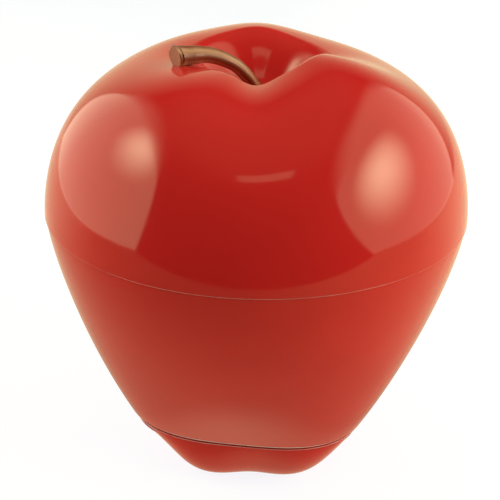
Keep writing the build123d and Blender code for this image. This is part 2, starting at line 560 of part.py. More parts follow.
def make_carriage():
    """Nut housing and two guide sleeves on one web, with a pair of ears for the peeling arm."""
    left, right = guide_places()
    lead = (0, LEAD_AXIS)
    high = CARRIAGE_LOW + CARRIAGE_HEIGHT
    body = strap(CARRIAGE_WEB / 2, [left, lead, right], CARRIAGE_LOW, high)
    body += rod(NUT_RADIUS + SEAT_GAP + BOSS_WALL / 2, CARRIAGE_LOW, high, lead)
    for at in guide_places():
        body += rod(ROD_RADIUS + GUIDE_WALL, CARRIAGE_LOW, high, at)
    for low, top in ear_levels():
        body += strap(EAR_RADIUS, [right, PIVOT], low, top)
    web_end = tuple(a + (b - a) * WEB_SHARE for a, b in zip(right, PIVOT))
    body += strap(CARRIAGE_WEB / 2, [right, web_end], CARRIAGE_LOW, high)
    for at in guide_places():
        body -= rod(ROD_RADIUS + RUNNING_GAP, 0, CROWN_HEIGHT, at)
    body -= rod(NUT_RADIUS + SEAT_GAP, 0, CROWN_HEIGHT, lead)
    body -= rod(PIN_RADIUS + SEAT_GAP, 0, CROWN_HEIGHT, PIVOT)
    return body


def make_nut():
    """Flanged brass nut pressed into the carriage from below."""
    bore = LEAD_RADIUS + RUNNING_GAP
    low, high = CARRIAGE_LOW - NUT_FLANGE, CARRIAGE_LOW + CARRIAGE_HEIGHT
    nut = turned((bore, low), (NUT_FLANGE_RADIUS, low), (NUT_FLANGE_RADIUS, CARRIAGE_LOW),
                 (NUT_RADIUS, CARRIAGE_LOW), (NUT_RADIUS, high), (bore, high))
    return Pos(0, LEAD_AXIS, 0) * nut


def make_arm_pin():
    """Headed steel pin through the carriage's ears."""
    top = ear_levels()[1][1]
    return rod(PIN_RADIUS, CARRIAGE_LOW, top, PIVOT) + rod(PIN_HEAD_RADIUS, top, top + PIN_HEAD, PIVOT)


def on_arm(shape):
    """Place a piece drawn with the arm along +X from its pivot, pointing at the main axis."""
    return Pos(PIVOT[0], PIVOT[1], 0) * Rot(0, 0, degrees(atan2(-PIVOT[1], -PIVOT[0]))) * shape


def arm_middle():
    return sum(arm_levels()) / 2


def make_peeler_arm():
    """Hub on the pin and a bar that changes from flat to round where it holds the spindle."""
    low, high = arm_levels()
    middle = arm_middle()
    root = Plane(origin=(ARM_HUB_RADIUS / 2, 0, middle), x_dir=(0, 1, 0), z_dir=(1, 0, 0))
    neck = Plane(origin=(ARM_REACH - SPINDLE_HOLE, 0, middle), x_dir=(0, 1, 0), z_dir=(1, 0, 0))
    bar = loft([root * RectangleRounded(ARM_THICKNESS, ARM_DEPTH, ARM_THICKNESS / 3),
                neck * RectangleRounded(2 * ARM_TIP_RADIUS, 2 * ARM_TIP_RADIUS, ARM_THICKNESS / 3)])
    tip = neck * extrude(Circle(ARM_TIP_RADIUS), SPINDLE_HOLE)
    hole = neck * extrude(Circle(SPINDLE_RADIUS + RUNNING_GAP), SPINDLE_HOLE)
    hub = rod(ARM_HUB_RADIUS, low, high)
    return on_arm(hub + bar + tip - hole - rod(PIN_RADIUS + RUNNING_GAP, low, high))


def make_blade_head():
    """Swivelling frame with a window for the peel and a spindle that turns in the arm's tip."""
    middle = arm_middle()
    start = ARM_REACH + FLOAT
    centre = start + HEAD_BAR + HEAD_WIDTH / 2
    frame = Pos(centre, 0, middle) * Box(HEAD_WIDTH, HEAD_THICKNESS, HEAD_HEIGHT)
    frame = fillet(frame.edges().filter_by(Axis.Y), HEAD_BAR)
    frame -= Pos(centre, 0, middle) * Box(HEAD_WIDTH - 2 * HEAD_BAR, HEAD_THICKNESS,
                                          HEAD_HEIGHT - 2 * HEAD_BAR)
    end = Plane(origin=(ARM_REACH - SPINDLE_HOLE + FLOAT, 0, middle), x_dir=(0, 1, 0),
                z_dir=(1, 0, 0))
    spindle = end * extrude(Circle(SPINDLE_RADIUS), SPINDLE_HOLE + HEAD_BAR)
    collar = Plane(origin=(start, 0, middle), x_dir=(0, 1, 0), z_dir=(1, 0, 0))
    return on_arm(frame + spindle + collar * extrude(Circle(ARM_TIP_RADIUS), HEAD_BAR))


def make_peel_blade():
    """Slotted steel blade on the side of the frame that meets the apple."""
    middle = arm_middle()
    start = ARM_REACH + FLOAT + HEAD_BAR
    face = -HEAD_THICKNESS / 2
    width, height = HEAD_WIDTH - 2 * BLADE_MARGIN, HEAD_HEIGHT - 2 * BLADE_MARGIN
    centre = start + HEAD_WIDTH / 2
    edge = centre + BLADE_SLOT / 2
    slot = height - 3 * HEAD_BAR
    plate = Pos(centre, face - BLADE_THICKNESS / 2, middle) * Box(width, BLADE_THICKNESS, height)
    plate -= Pos(centre, face, middle) * Box(BLADE_SLOT, 4 * BLADE_THICKNESS, slot)
    back = face - BLADE_THICKNESS
    lifted = prism([(edge, back), (edge + BLADE_EDGE, back), (edge, back - BLADE_EDGE)],
                   middle - slot / 2, middle + slot / 2)
    return on_arm(plate + lifted)


def coil(radius, wire, turns, low, high):
    """A square-wire coil between two heights."""
    start = low + wire / 2
    path = Helix((high - low - wire) / turns, high - low - wire, radius, center=(0, 0, start))
    section = Plane(origin=path @ 0, z_dir=path % 0, x_dir=(1, 0, 0)) * Rectangle(wire, wire)
    return sweep(section, path=path, is_frenet=True)


def make_arm_spring():
    """Torsion coil round the pin, between the arm's hub and the upper ear."""
    low = arm_levels()[1] + FLOAT
    spring = coil(SPRING_RADIUS, SPRING_WIRE, SPRING_TURNS, low, ear_levels()[1][0] - FLOAT)
    return Pos(PIVOT[0], PIVOT[1], 0) * spring


# ---- glide ring, dome and stem --------------------------------------------------------------------------
def ledge_low():
    """Underside of the dome's inner ledge, just above the glide ring's flange."""
    return SEAM_HEIGHT + LIP_HEIGHT + GLIDE_FLANGE + GAP


def make_glide_ring():
    """Acetal ring keyed into the lower shell's lip; the dome turns on its flange under a bead."""
    seat = SEAM_HEIGHT + LIP_HEIGHT
    outer = LIP_RADIUS - LIP_WALL - GAP
    inner = outer - GLIDE_WALL
    reach = LIP_RADIUS - GLIDE_MARGIN
    bead = ledge_low() + LEDGE_HEIGHT + GAP
    body = turned((inner, seat - GLIDE_SKIRT), (outer, seat - GLIDE_SKIRT), (outer, seat),
                  (reach, seat), (reach, seat + GLIDE_FLANGE), (outer, seat + GLIDE_FLANGE),
                  (outer, bead), (reach, bead), (outer, bead + GLIDE_BEAD),
                  (inner, bead + GLIDE_BEAD))
    for i in range(KEY_COUNT):
        key = block(KEY_WIDTH - 2 * GAP, reach - inner, seat - KEY_HEIGHT + GAP, seat,
                    (0, (reach + inner) / 2))
        body += Rot(0, 0, 360 * i / KEY_COUNT) * key
    return body


def sleeve_screw_places():
    return around(SLEEVE_SCREW_COUNT, SLEEVE_SCREW_CIRCLE)


def gear_screw_places():
    return around(LUG_COUNT, LUG_CIRCLE, 180 / LUG_COUNT)


def make_dome():
    """Upper shell with shoulders, lobed crown and dimple; ledge, gear bosses and sleeve bosses."""
    apple = skin(dome_profile, DOME_STATIONS)
    shell = apple - skin(dome_profile, DOME_STATIONS, WALL)
    low, blend = ledge_low(), LIP_RADIUS + LIP_BLEND
    shell += turned((LIP_RADIUS - LIP_WALL, low), (blend, low),
                    (blend, low + LEDGE_HEIGHT), (LIP_RADIUS - LIP_WALL, low + LEDGE_HEIGHT))
    seats = [(GEAR_LOW + GEAR_HEIGHT, LUG_RADIUS, gear_screw_places()),
             (SLEEVE_TOP, SLEEVE_BOSS_RADIUS, sleeve_screw_places())]
    for seat, radius, places in seats:
        for at in places:
            shell += rod(radius, seat, CROWN_HEIGHT, at) & apple
            shell -= rod(SCREW_RADIUS + SEAT_GAP, seat, seat + SCREW_DEPTH, at)
    return shell - rod(SCREW_RADIUS + GAP, SLEEVE_TOP, CROWN_HEIGHT)


def make_stem():
    """Curved stem with a flared, slanting cut end, standing on the dimple's floor."""
    floor = Vector(0, 0, DIMPLE_HEIGHT)
    spots = [floor + Vector(*point) for point in STEM_PATH]
    rings = []
    for i, (spot, radius) in enumerate(zip(spots, STEM_RADII)):
        before, after = spots[max(i - 1, 0)], spots[min(i + 1, len(spots) - 1)]
        way = after - before
        if i == 0:
            way = Vector(0, 0, 1)
        elif i == len(spots) - 1:
            way = Vector(*STEM_CUT)
        rings.append(Wire([Edge.make_circle(radius, Plane(origin=spot, z_dir=way))]))
    stem = Part() + Solid.make_loft(rings)
    stem += rod(STEM_FOOT_RADIUS, DIMPLE_HEIGHT, DIMPLE_HEIGHT + STEM_FOOT)
    return stem - rod(SCREW_RADIUS + SEAT_GAP, DIMPLE_HEIGHT, DIMPLE_HEIGHT + SCREW_DEPTH / 2)


# ---- sprung apple holder ----------------------------------------------------------------------------------
def piston_radius():
    return SLEEVE_RADIUS - SLEEVE_WALL - GAP


def lug_low():
    """Underside of the piston's lugs at rest."""
    return PISTON_TOP - KEY_LUG_DROP - KEY_LUG_HEIGHT


def make_sleeve():
    """Flanged sleeve under the dimple, with two windows that key and stop the holder."""
    flange = SLEEVE_TOP - SLEEVE_FLANGE
    inner = SLEEVE_RADIUS - SLEEVE_WALL
    sleeve = turned((inner, SLEEVE_LOW), (SLEEVE_RADIUS, SLEEVE_LOW), (SLEEVE_RADIUS, flange),
                    (SLEEVE_FLANGE_RADIUS, flange), (SLEEVE_FLANGE_RADIUS, SLEEVE_TOP),
                    (SLEEVE_HOLE_RADIUS, SLEEVE_TOP), (SLEEVE_HOLE_RADIUS, flange), (inner, flange))
    sleeve -= block(KEY_LUG_WIDTH + 2 * GAP, 4 * SLEEVE_RADIUS, lug_low() - GAP,
                    lug_low() + KEY_LUG_HEIGHT + HOLDER_TRAVEL + GAP)
    for at in sleeve_screw_places():
        sleeve -= rod(SCREW_RADIUS + GAP, flange, SLEEVE_TOP, at)
    return sleeve


def make_holder():
    """Plate on a hollow piston whose lugs ride in the sleeve's windows."""
    outer = piston_radius()
    inner = outer - PISTON_WALL
    top = HOLDER_LOW + HOLDER_PLATE
    holder = turned((0, HOLDER_LOW + HOLDER_PLATE / 3), (TUBE_RADIUS - TUBE_WALL, HOLDER_LOW),
                    (HOLDER_RADIUS - GAP, HOLDER_LOW), (HOLDER_RADIUS, HOLDER_LOW + GAP),
                    (HOLDER_RADIUS, top - GAP), (HOLDER_RADIUS - GAP, top), (outer, top),
                    (outer, PISTON_TOP), (inner, PISTON_TOP), (inner, top), (0, top))
    lugs = block(KEY_LUG_WIDTH, 2 * (SLEEVE_RADIUS - GAP), lug_low(), lug_low() + KEY_LUG_HEIGHT)
    holder += lugs - rod(inner, 0, CROWN_HEIGHT)
    slot = block(SPIKE_WIDTH + 2 * SEAT_GAP, SPIKE_THICKNESS + 2 * SEAT_GAP, HOLDER_LOW,
                 HOLDER_LOW + SPIKE_ROOT, (0, -SPIKE_CIRCLE))
    for i in range(SPIKE_COUNT):
        holder -= Rot(0, 0, 360 * (i + 0.5) / SPIKE_COUNT) * slot
    return holder


def make_spikes():
    """Steel points under the holder that bite into the top of the apple."""
    spike = blade_point(SPIKE_WIDTH, SPIKE_THICKNESS, HOLDER_LOW + SPIKE_ROOT, HOLDER_LOW,
                        HOLDER_LOW - SPIKE_LENGTH)
    spike = Pos(0, -SPIKE_CIRCLE, 0) * spike
    return [Rot(0, 0, 360 * (i + 0.5) / SPIKE_COUNT) * spike for i in range(SPIKE_COUNT)]


def make_holder_spring():
    """Compression coil between the piston's floor and the sleeve's flange."""
    return coil(COIL_RADIUS, COIL_WIRE, COIL_TURNS, HOLDER_LOW + HOLDER_PLATE + FLOAT,
                SLEEVE_TOP - SLEEVE_FLANGE - FLOAT)


# ---- the nodes --------------------------------------------------------------------------------------------
clip_top = DECK_HEIGHT - CLIP_THICKNESS - FLOAT
gear_top = GEAR_LOW + GEAR_HEIGHT
nodes = {
    "core_cup": make_core_cup(),
    "foot_pads": make_foot_pads(),
    "lower_shell": make_lower_shell(),
    "deck": make_deck(),
    "deck_screws": [pan_screw(at, DECK_HEIGHT + DECK_THICKNESS, DECK_THICKNESS + SCREW_DEPTH / 2, False)
                    for at in deck_screw_places()],
    "deck_bush": make_deck_bush(),
    "screw_bushes": make_screw_bushes(),
    "guide_rods": make_guide_rods(),
    "bearing_plate": make_bearing_plate(),
    "rod_screws": [pan_screw(at, PLATE_LOW + PLATE_THICKNESS, PLATE_THICKNESS + SCREW_DEPTH, False)
                   for at in guide_places()],
    "fork": make_fork(),
    "prongs": make_prongs(),
    "coring_tube": make_coring_tube(),
    "fork_clip": make_clip(HUB_RADIUS, CLIP_GROOVE, clip_top),
    "lead_screw": make_lead_screw(),
    "pinion": make_pinion(),
    "pinion_clip": make_clip(JOURNAL_RADIUS, CLIP_GROOVE, gear_top + FLOAT / 2 + CLIP_THICKNESS,
                             (0, LEAD_AXIS)),
    "carriage": make_carriage(),
    "carriage_nut": make_nut(),
    "arm_pin": make_arm_pin(),
    "peeler_arm": make_peeler_arm(),
    "arm_spring": make_arm_spring(),
    "blade_head": make_blade_head(),
    "peel_blade": make_peel_blade(),
    "glide_ring": make_glide_ring(),
    "dome": make_dome(),
    "ring_gear": make_ring_gear(),
    "gear_screws": [pan_screw(at, gear_top - GEAR_HEIGHT / 2, GEAR_HEIGHT / 2 + SCREW_DEPTH)
                    for at in gear_screw_places()],
    "holder_sleeve": make_sleeve(),
    "sleeve_screws": [pan_screw(at, SLEEVE_TOP - SLEEVE_FLANGE, SLEEVE_FLANGE + SCREW_DEPTH)
                      for at in sleeve_screw_places()],
    "stem": make_stem(),
    "stem_screw": pan_screw((0, 0), DIMPLE_HEIGHT - WALL, WALL + SCREW_DEPTH / 2),
    "apple_holder": make_holder(),
    "holder_spikes": make_spikes(),
    "holder_spring": make_holder_spring(),
}
for name, shape in nodes.items():
    solid = Compound(shape) if isinstance(shape, list) else shape
    export_step(solid, f"parts/{name}.step")
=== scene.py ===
from math import cos, exp, hypot, pi, radians, sin
import bmesh
import bpy
from mathutils import Matrix, Vector


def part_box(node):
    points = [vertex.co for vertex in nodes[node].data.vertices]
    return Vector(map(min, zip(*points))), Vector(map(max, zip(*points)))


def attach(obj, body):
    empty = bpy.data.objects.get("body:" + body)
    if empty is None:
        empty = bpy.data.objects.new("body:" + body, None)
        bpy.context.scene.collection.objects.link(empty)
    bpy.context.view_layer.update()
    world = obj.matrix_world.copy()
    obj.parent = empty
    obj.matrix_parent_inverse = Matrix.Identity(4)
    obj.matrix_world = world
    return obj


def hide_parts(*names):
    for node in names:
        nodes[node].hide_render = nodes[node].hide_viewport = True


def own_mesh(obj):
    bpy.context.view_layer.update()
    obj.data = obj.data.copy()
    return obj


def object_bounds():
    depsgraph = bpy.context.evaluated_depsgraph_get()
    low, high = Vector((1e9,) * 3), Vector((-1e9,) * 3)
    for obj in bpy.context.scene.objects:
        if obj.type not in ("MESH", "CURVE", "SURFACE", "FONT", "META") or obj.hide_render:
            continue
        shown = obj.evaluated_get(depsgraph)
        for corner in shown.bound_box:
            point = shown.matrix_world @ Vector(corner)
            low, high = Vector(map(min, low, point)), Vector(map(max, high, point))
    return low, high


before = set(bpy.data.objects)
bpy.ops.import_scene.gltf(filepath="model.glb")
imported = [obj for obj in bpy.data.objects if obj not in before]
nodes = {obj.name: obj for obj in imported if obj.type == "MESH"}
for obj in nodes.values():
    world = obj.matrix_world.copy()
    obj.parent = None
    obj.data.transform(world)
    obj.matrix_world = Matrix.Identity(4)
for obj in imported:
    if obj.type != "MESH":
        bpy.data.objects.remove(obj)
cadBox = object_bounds()
mm = 0.001
scene = bpy.context.scene
print("frame loaded:", len(nodes), "nodes")

# kinds of node that many trees use: a type, or a type with its settings
textureCoordinate = "ShaderNodeTexCoord"
noise = "ShaderNodeTexNoise"
split = "ShaderNodeSeparateXYZ"
combine = "ShaderNodeCombineXYZ"
bump = "ShaderNodeBump"
mapRange = "ShaderNodeMapRange"
easeRange = ("ShaderNodeMapRange", {"interpolation_type": "SMOOTHSTEP"})
mixColour = ("ShaderNodeMix", {"data_type": "RGBA"})
mixNumber = ("ShaderNodeMix", {"data_type": "FLOAT"})
position = "GeometryNodeInputPosition"
setPosition = "GeometryNodeSetPosition"
meshGrid = "GeometryNodeMeshGrid"
mergeClose = "GeometryNodeMergeByDistance"
realize = "GeometryNodeRealizeInstances"
setMaterial = "GeometryNodeSetMaterial"
operations = "ADD SUBTRACT MULTIPLY MULTIPLY_ADD DIVIDE POWER SINE COSINE MAXIMUM EXPONENT ABSOLUTE PINGPONG"
plus, minus, times, timesPlus, over, raised, sine, cosine, largest, exponent, absolute, zigzag = (
    ("ShaderNodeMath", {"operation": word}) for word in operations.split())
distance, vectorLength = (("ShaderNodeVectorMath", {"operation": word}) for word in ("DISTANCE", "LENGTH"))
smoothFaces, smoothEdges = (("GeometryNodeSetShadeSmooth", {"domain": word}) for word in ("FACE", "EDGE"))


def plug(tree, node, sockets):   # sets or links sockets: by name or place, or a list from the first one on
    for key, value in sockets.items() if isinstance(sockets, dict) else enumerate(sockets):
        if isinstance(value, bpy.types.Node):   # a node stands for its first output in use
            value = next(socket for socket in value.outputs if socket.enabled)
        if isinstance(value, bpy.types.NodeSocket):
            tree.links.new(value, node.inputs[key])
        else:
            node.inputs[key].default_value = value


def put(tree, kind, sockets=()):   # adds one node with its settings, and links or sets its sockets
    name, settings = kind if isinstance(kind, tuple) else (kind, {})
    made = tree.nodes.new(name)
    for setting, value in settings.items():
        setattr(made, setting, value)
    plug(tree, made, sockets)
    return made


def linearColour(code):   # sRGB hex to the linear values that the shaders take
    parts = [int(code[i:i + 2], 16) / 255 for i in (1, 3, 5)]
    return tuple(p / 12.92 if p <= 0.04045 else ((p + 0.055) / 1.055) ** 2.4 for p in parts) + (1.0,)


def newTree(name, sizes):   # a Geometry Nodes tree with one named input for each size and finish
    tree = bpy.data.node_groups.new(name, "GeometryNodeTree")
    tree.interface.new_socket("Geometry", in_out="INPUT", socket_type="NodeSocketGeometry")
    for label, value in sizes.items():
        kind = "NodeSocketMaterial" if isinstance(value, bpy.types.Material) else "NodeSocketFloat"
        tree.interface.new_socket(label, in_out="INPUT", socket_type=kind)
    tree.interface.new_socket("Geometry", in_out="OUTPUT", socket_type="NodeSocketGeometry")
    return tree, put(tree, "NodeGroupInput").outputs, put(tree, "NodeGroupOutput")


def addTree(piece, name, tree, sizes):   # a modifier whose inputs are set by their identifiers
    modifier = piece.modifiers.new(name, "NODES")
    modifier.node_group = tree
    for item in tree.interface.items_tree:
        if item.in_out == "INPUT" and item.name in sizes:
            modifier[item.identifier] = sizes[item.name]


def linkNew(name, data):   # a new object in the scene
    made = bpy.data.objects.new(name, data)
    scene.collection.objects.link(made)
    return made


def bake(piece):   # applies the piece's modifiers
    made = bpy.data.meshes.new_from_object(piece.evaluated_get(bpy.context.evaluated_depsgraph_get()))
    piece.modifiers.clear()
    piece.data = made
    return piece


def grow(name, tree, sizes, seed=None):   # runs a tree on an object and keeps the result as a plain mesh
    piece = linkNew(name, seed or bpy.data.meshes.new(name))
    addTree(piece, "grow", tree, sizes)
    bake(piece).data.name = name
    return piece


def shadeByAngle(piece, angle):
    piece.data.shade_smooth()
    piece.data.set_sharp_from_angle(angle=radians(angle))
    return piece


def joinMeshes(name, meshes):   # one mesh from several, each with its own materials kept
    work = bmesh.new()
    slots = []
    for mesh in meshes:
        start = len(work.faces)
        work.from_mesh(mesh)
        work.faces.ensure_lookup_table()
        places = []
        for material in mesh.materials:
            if material not in slots:
                slots.append(material)
            places.append(slots.index(material))
        for face in work.faces[start:]:
            face.material_index = places[face.material_index]
    joined = bpy.data.meshes.new(name)
    work.to_mesh(joined)
    work.free()
    for material in slots:
        joined.materials.append(material)
    return joined


def addTurned(work, outline, segments):   # spins a (radius, height) outline about the upright axis
    rings = []
    for radius, height in outline:
        turns = [2 * pi * i / segments for i in range(segments if radius > 0 else 1)]
        rings.append([work.verts.new((radius * cos(a), radius * sin(a), height)) for a in turns])
    for lower, upper in zip(rings, rings[1:]):
        for i in range(segments):
            j = (i + 1) % segments
            corners = [ring[k % len(ring)] for ring, k in ((lower, i), (lower, j), (upper, j), (upper, i))]
            face = list(dict.fromkeys(corners))
            if len(face) > 2:
                work.faces.new(face)


def onCircle(count, radius, start=0.0):   # places round the axis, from an azimuth that is 0 at the front
    turns = [radians(start + 360 * i / count) for i in range(count)]
    return [(radius * sin(a), -radius * cos(a)) for a in turns]


noiseSpan = (0.3, 0.7)   # most of a noise's values lie between these
glossDrift = {"plastic": (0.85, 1.2), "metal": (0.75, 1.35)}   # how far the roughness strays from its mean
smudgeSize = 9 * mm


def newFinish(name, settings):   # a material with its shader's plain numbers set on the shader itself
    finish = bpy.data.materials.new(name)
    finish.use_nodes = True
    tree = finish.node_tree
    shader = tree.nodes["Principled BSDF"]
    plug(tree, shader, settings)
    return finish, tree, shader


def coat(tree, shader, form, tone, gloss, height):   # a colour between two tones, gloss and relief
    shades = {6: linearColour(form["colour"]), 7: linearColour(form["shade"])}
    colour = put(tree, mixColour, {0: tone, **shades})
    relief = put(tree, bump, {"Height": height, "Distance": form["depth"], "Strength": 1.0})
    plug(tree, shader, {"Base Color": colour, "Roughness": gloss, "Normal": relief})


def makePlastic(name, plastic):   # moulded: the tone drifts, the gloss varies, the skin ripples faintly
    dull = plastic["roughness"]
    sheen = linearColour(plastic.get("sheen", "#FFFFFF"))
    finish, tree, shader = newFinish(name, {"IOR": plastic["ior"], "Roughness": dull, "Specular Tint": sheen})
    lumps = {"Vector": put(tree, textureCoordinate).outputs["Object"], "Roughness": 0.55}
    drift = put(tree, noise, {**lumps, "Scale": 1 / plastic["drift"], "Detail": 2.0})
    haze = put(tree, noise, {**lumps, "Scale": 1 / plastic["haze"], "Detail": 4.0})
    gloss = put(tree, mapRange, [haze, *noiseSpan, *[dull * part for part in glossDrift["plastic"]]])
    ripple = put(tree, noise, {**lumps, "Scale": 1 / plastic["ripple"], "Detail": 2.0})
    coat(tree, shader, plastic, put(tree, mapRange, [drift, *noiseSpan]), gloss, ripple)
    return finish


def makeMetal(name, metal):   # tool marks drawn out along one way, smudges in the gloss
    dull = metal["roughness"]
    finish, tree, shader = newFinish(name, {"Metallic": 1.0, "Roughness": dull})
    lumps = {"Vector": put(tree, textureCoordinate).outputs["Object"], "Roughness": 0.55}
    drawn = put(tree, "ShaderNodeMapping", {"Vector": lumps["Vector"], "Scale": metal["stretch"]})
    marks = put(tree, noise, {**lumps, "Vector": drawn, "Scale": 1 / metal["grit"], "Detail": 5.0})
    smudge = put(tree, noise, {**lumps, "Scale": 1 / smudgeSize, "Detail": 3.0})
    gloss = put(tree, mapRange, [smudge, *noiseSpan, *[dull * part for part in glossDrift["metal"]]])
    coat(tree, shader, metal, put(tree, mapRange, [marks, *noiseSpan]), gloss, marks)
    return finish


# drift, haze, ripple and grit are the sizes of each pattern's lumps, and stretch draws grit out;
# grit is finer on the real metals, and is drawn this coarse so that it shows
# ABS moulded in a polished tool: deep even red, wet-looking gloss, the faint waviness of cooling walls
polishedRedAbs = makePlastic("polishedRedAbs", {
    "colour": "#CD2726", "shade": "#C42324", "sheen": "#FFF6E2", "ior": 1.54, "roughness": 0.075,
    "drift": 70 * mm, "haze": 22 * mm, "ripple": 16 * mm, "depth": 0.02 * mm})
# the same ABS inside the shells, off a plain machined core: duller, finely grained
machinedRedAbs = makePlastic("machinedRedAbs", {
    "colour": "#A81D17", "shade": "#9C1A15", "ior": 1.54, "roughness": 0.42,
    "drift": 30 * mm, "haze": 6 * mm, "ripple": 1.2 * mm, "depth": 0.02 * mm})
# white ABS frame parts: faint warm cast, satin
satinWhiteAbs = makePlastic("satinWhiteAbs", {
    "colour": "#E4E1D9", "shade": "#D8D4CA", "ior": 1.54, "roughness": 0.33,
    "drift": 18 * mm, "haze": 5 * mm, "ripple": 0.9 * mm, "depth": 0.015 * mm})
# acetal: milky, slippery, slightly waxy
waxyAcetal = makePlastic("waxyAcetal", {
    "colour": "#EFEDE6", "shade": "#E2DFD4", "ior": 1.48, "roughness": 0.26,
    "drift": 12 * mm, "haze": 4 * mm, "ripple": 1.5 * mm, "depth": 0.01 * mm})
# natural nylon gears: ivory, a little duller, flow marks
naturalNylon = makePlastic("naturalNylon", {
    "colour": "#DDD3B8", "shade": "#CFC4A6", "ior": 1.53, "roughness": 0.38,
    "drift": 14 * mm, "haze": 4 * mm, "ripple": 1.1 * mm, "depth": 0.02 * mm})
# nitrile rubber pads: nearly black, matt, finely pitted
pittedRubber = makePlastic("pittedRubber", {
    "colour": "#262524", "shade": "#1D1C1C", "ior": 1.52, "roughness": 0.72,
    "drift": 4 * mm, "haze": 1.5 * mm, "ripple": 0.5 * mm, "depth": 0.03 * mm})
# centreless-ground rod: bright, with very fine rings round it
groundSteel = makeMetal("groundSteel", {
    "colour": "#C9CACB", "shade": "#B4B6B8", "roughness": 0.2,
    "grit": 3 * mm, "stretch": (1, 1, 14), "depth": 0.004 * mm})
# rolled stainless for the blade, prongs and tube: grain along the strip, polished edge
rolledStainless = makeMetal("rolledStainless", {
    "colour": "#CFD0D0", "shade": "#BBBDBE", "roughness": 0.17,
    "grit": 4 * mm, "stretch": (9, 9, 0.8), "depth": 0.006 * mm})
# zinc-plated screws: bluish bright plate, slightly cloudy
zincPlate = makeMetal("zincPlate", {
    "colour": "#C3C7CC", "shade": "#A9AFB6", "roughness": 0.28,
    "grit": 1.2 * mm, "stretch": (1, 1, 1), "depth": 0.004 * mm})
# drawn music wire: darker grey, die lines along it
drawnWire = makeMetal("drawnWire", {
    "colour": "#A3A5A8", "shade": "#8B8E92", "roughness": 0.3,
    "grit": 0.8 * mm, "stretch": (1, 1, 4), "depth": 0.006 * mm})
# turned brass nut: warm yellow, turning rings
turnedBrass = makeMetal("turnedBrass", {
    "colour": "#C9A45A", "shade": "#B48E47", "roughness": 0.24,
    "grit": 2 * mm, "stretch": (1, 1, 10), "depth": 0.006 * mm})
# die-cast zinc arm, tumbled: soft grey with a fine stone texture
castZinc = makeMetal("castZinc", {
    "colour": "#AEB0B2", "shade": "#999C9F", "roughness": 0.42,
    "grit": 0.9 * mm, "stretch": (1, 1, 1), "depth": 0.02 * mm})
print("finishes made")


# the apple's outer surface; each name is an input of the skins' trees
surface = {
    "seam radius": 99.5 * mm, "seam height": 135.0 * mm, "edge lift": 0.3 * mm, "overhang": 0.5 * mm,
    "crown radius": 35.0 * mm, "crown height": 204.3 * mm, "shoulder fullness": 0.9, "rise fullness": 1.2,
    "cheek bulge": 2.0 * mm, "dimple radius": 9.0 * mm, "dimple height": 184.0 * mm,
    "base radius": 55.5 * mm, "base height": 27.0 * mm, "flank fullness": 1.42,
    "foot radius": 30.5 * mm, "foot height": 0.8 * mm, "cup rim": 54.9 * mm, "cup top": 26.2 * mm,
    "cup fullness": 0.86, "cup drop": 1.73, "foot swell": 0.09, "foot blend": 1.67, "foot bumps": 5.0,
    "finish": polishedRedAbs}
# swellings round the axis: azimuth in degrees, height or share of the radius, sharpness
crownLobes = ((-34, 2.5 * mm, 7.8), (49, 8.6 * mm, 7.8), (180, 6.5 * mm, 7.8), (-138, 3.4 * mm, 7.0),
              (135, 1.5 * mm, 7.0), (-3, -3.5 * mm, 30.0))
cheekLobes = ((-76, 0.217, 4.2), (54, 0.179, 4.2), (180, 0.074, 4.2), (-4, -0.095, 4.2))
cheekMean = 0.078
# how far each rim's flat land reaches in, and how far it is rolled; smooth is in degrees everywhere
rim = {"domeLand": 3.0 * mm, "seamLand": 3.5 * mm, "baseLand": 6.5 * mm, "cupLand": 2.0 * mm,
       "seamRoll": 0.05 * mm, "baseRoll": 2.4 * mm, "cupRoll": 0.15 * mm, "steps": 5,
       "sharp": radians(50), "band": 0.1 * mm, "smooth": 32}
# a profile runs from 0 to 1 up the side and from 1 to 2 down the dimple; lands and floors lie beyond
profile = {"steps": 60, "around": 288, "land": 0.05, "dimpleFloor": 0.15, "footFloor": 0.3}
poleGap = 0.002 * mm   # points this near are merged where a skin closes
# a CAD shell's show surface turns by less than this from face to face, and the lands beside it are level
shellCut = {"weld": 1e-6, "upright": 0.95, "level": 0.999, "showTurn": radians(25), "landTurn": radians(3)}


def startSkin(name, low, high):   # a grid whose x is the azimuth and whose y runs along the profile
    tree, size, out = newTree(name, surface)
    rows = round((high - low) * profile["steps"]) + 1
    grid = put(tree, meshGrid, [2 * pi, high - low, profile["around"] + 1, rows])
    spot = put(tree, split, [put(tree, position)])
    along = put(tree, plus, [spot.outputs["Y"], (low + high) / 2])
    return tree, size, out, grid, spot.outputs["X"], along


def addLobes(tree, azimuth, lobes, total):   # adds smooth swellings round the axis to a value
    for at, height, sharpness in lobes:
        wave = put(tree, cosine, [put(tree, minus, [azimuth, radians(at)])])
        peak = put(tree, timesPlus, [wave, sharpness, -sharpness])
        total = put(tree, timesPlus, [put(tree, exponent, [peak]), height, total])
    return total


def endSkin(tree, size, out, grid, azimuth, radius, height, values):   # wraps the grid, closes seam and poles
    east = put(tree, times, [put(tree, sine, [azimuth]), radius])
    north = put(tree, times, [put(tree, cosine, [azimuth]), radius])
    place = put(tree, combine, [east, put(tree, times, [north, -1.0]), height])
    moved = put(tree, setPosition, {"Geometry": grid, "Position": place})
    closed = put(tree, mergeClose, {"Geometry": moved, "Distance": poleGap})
    real = put(tree, realize, [closed])
    plug(tree, out, [put(tree, setMaterial, {"Geometry": real, "Material": size["finish"]})])
    return grow(tree.name, tree, values)


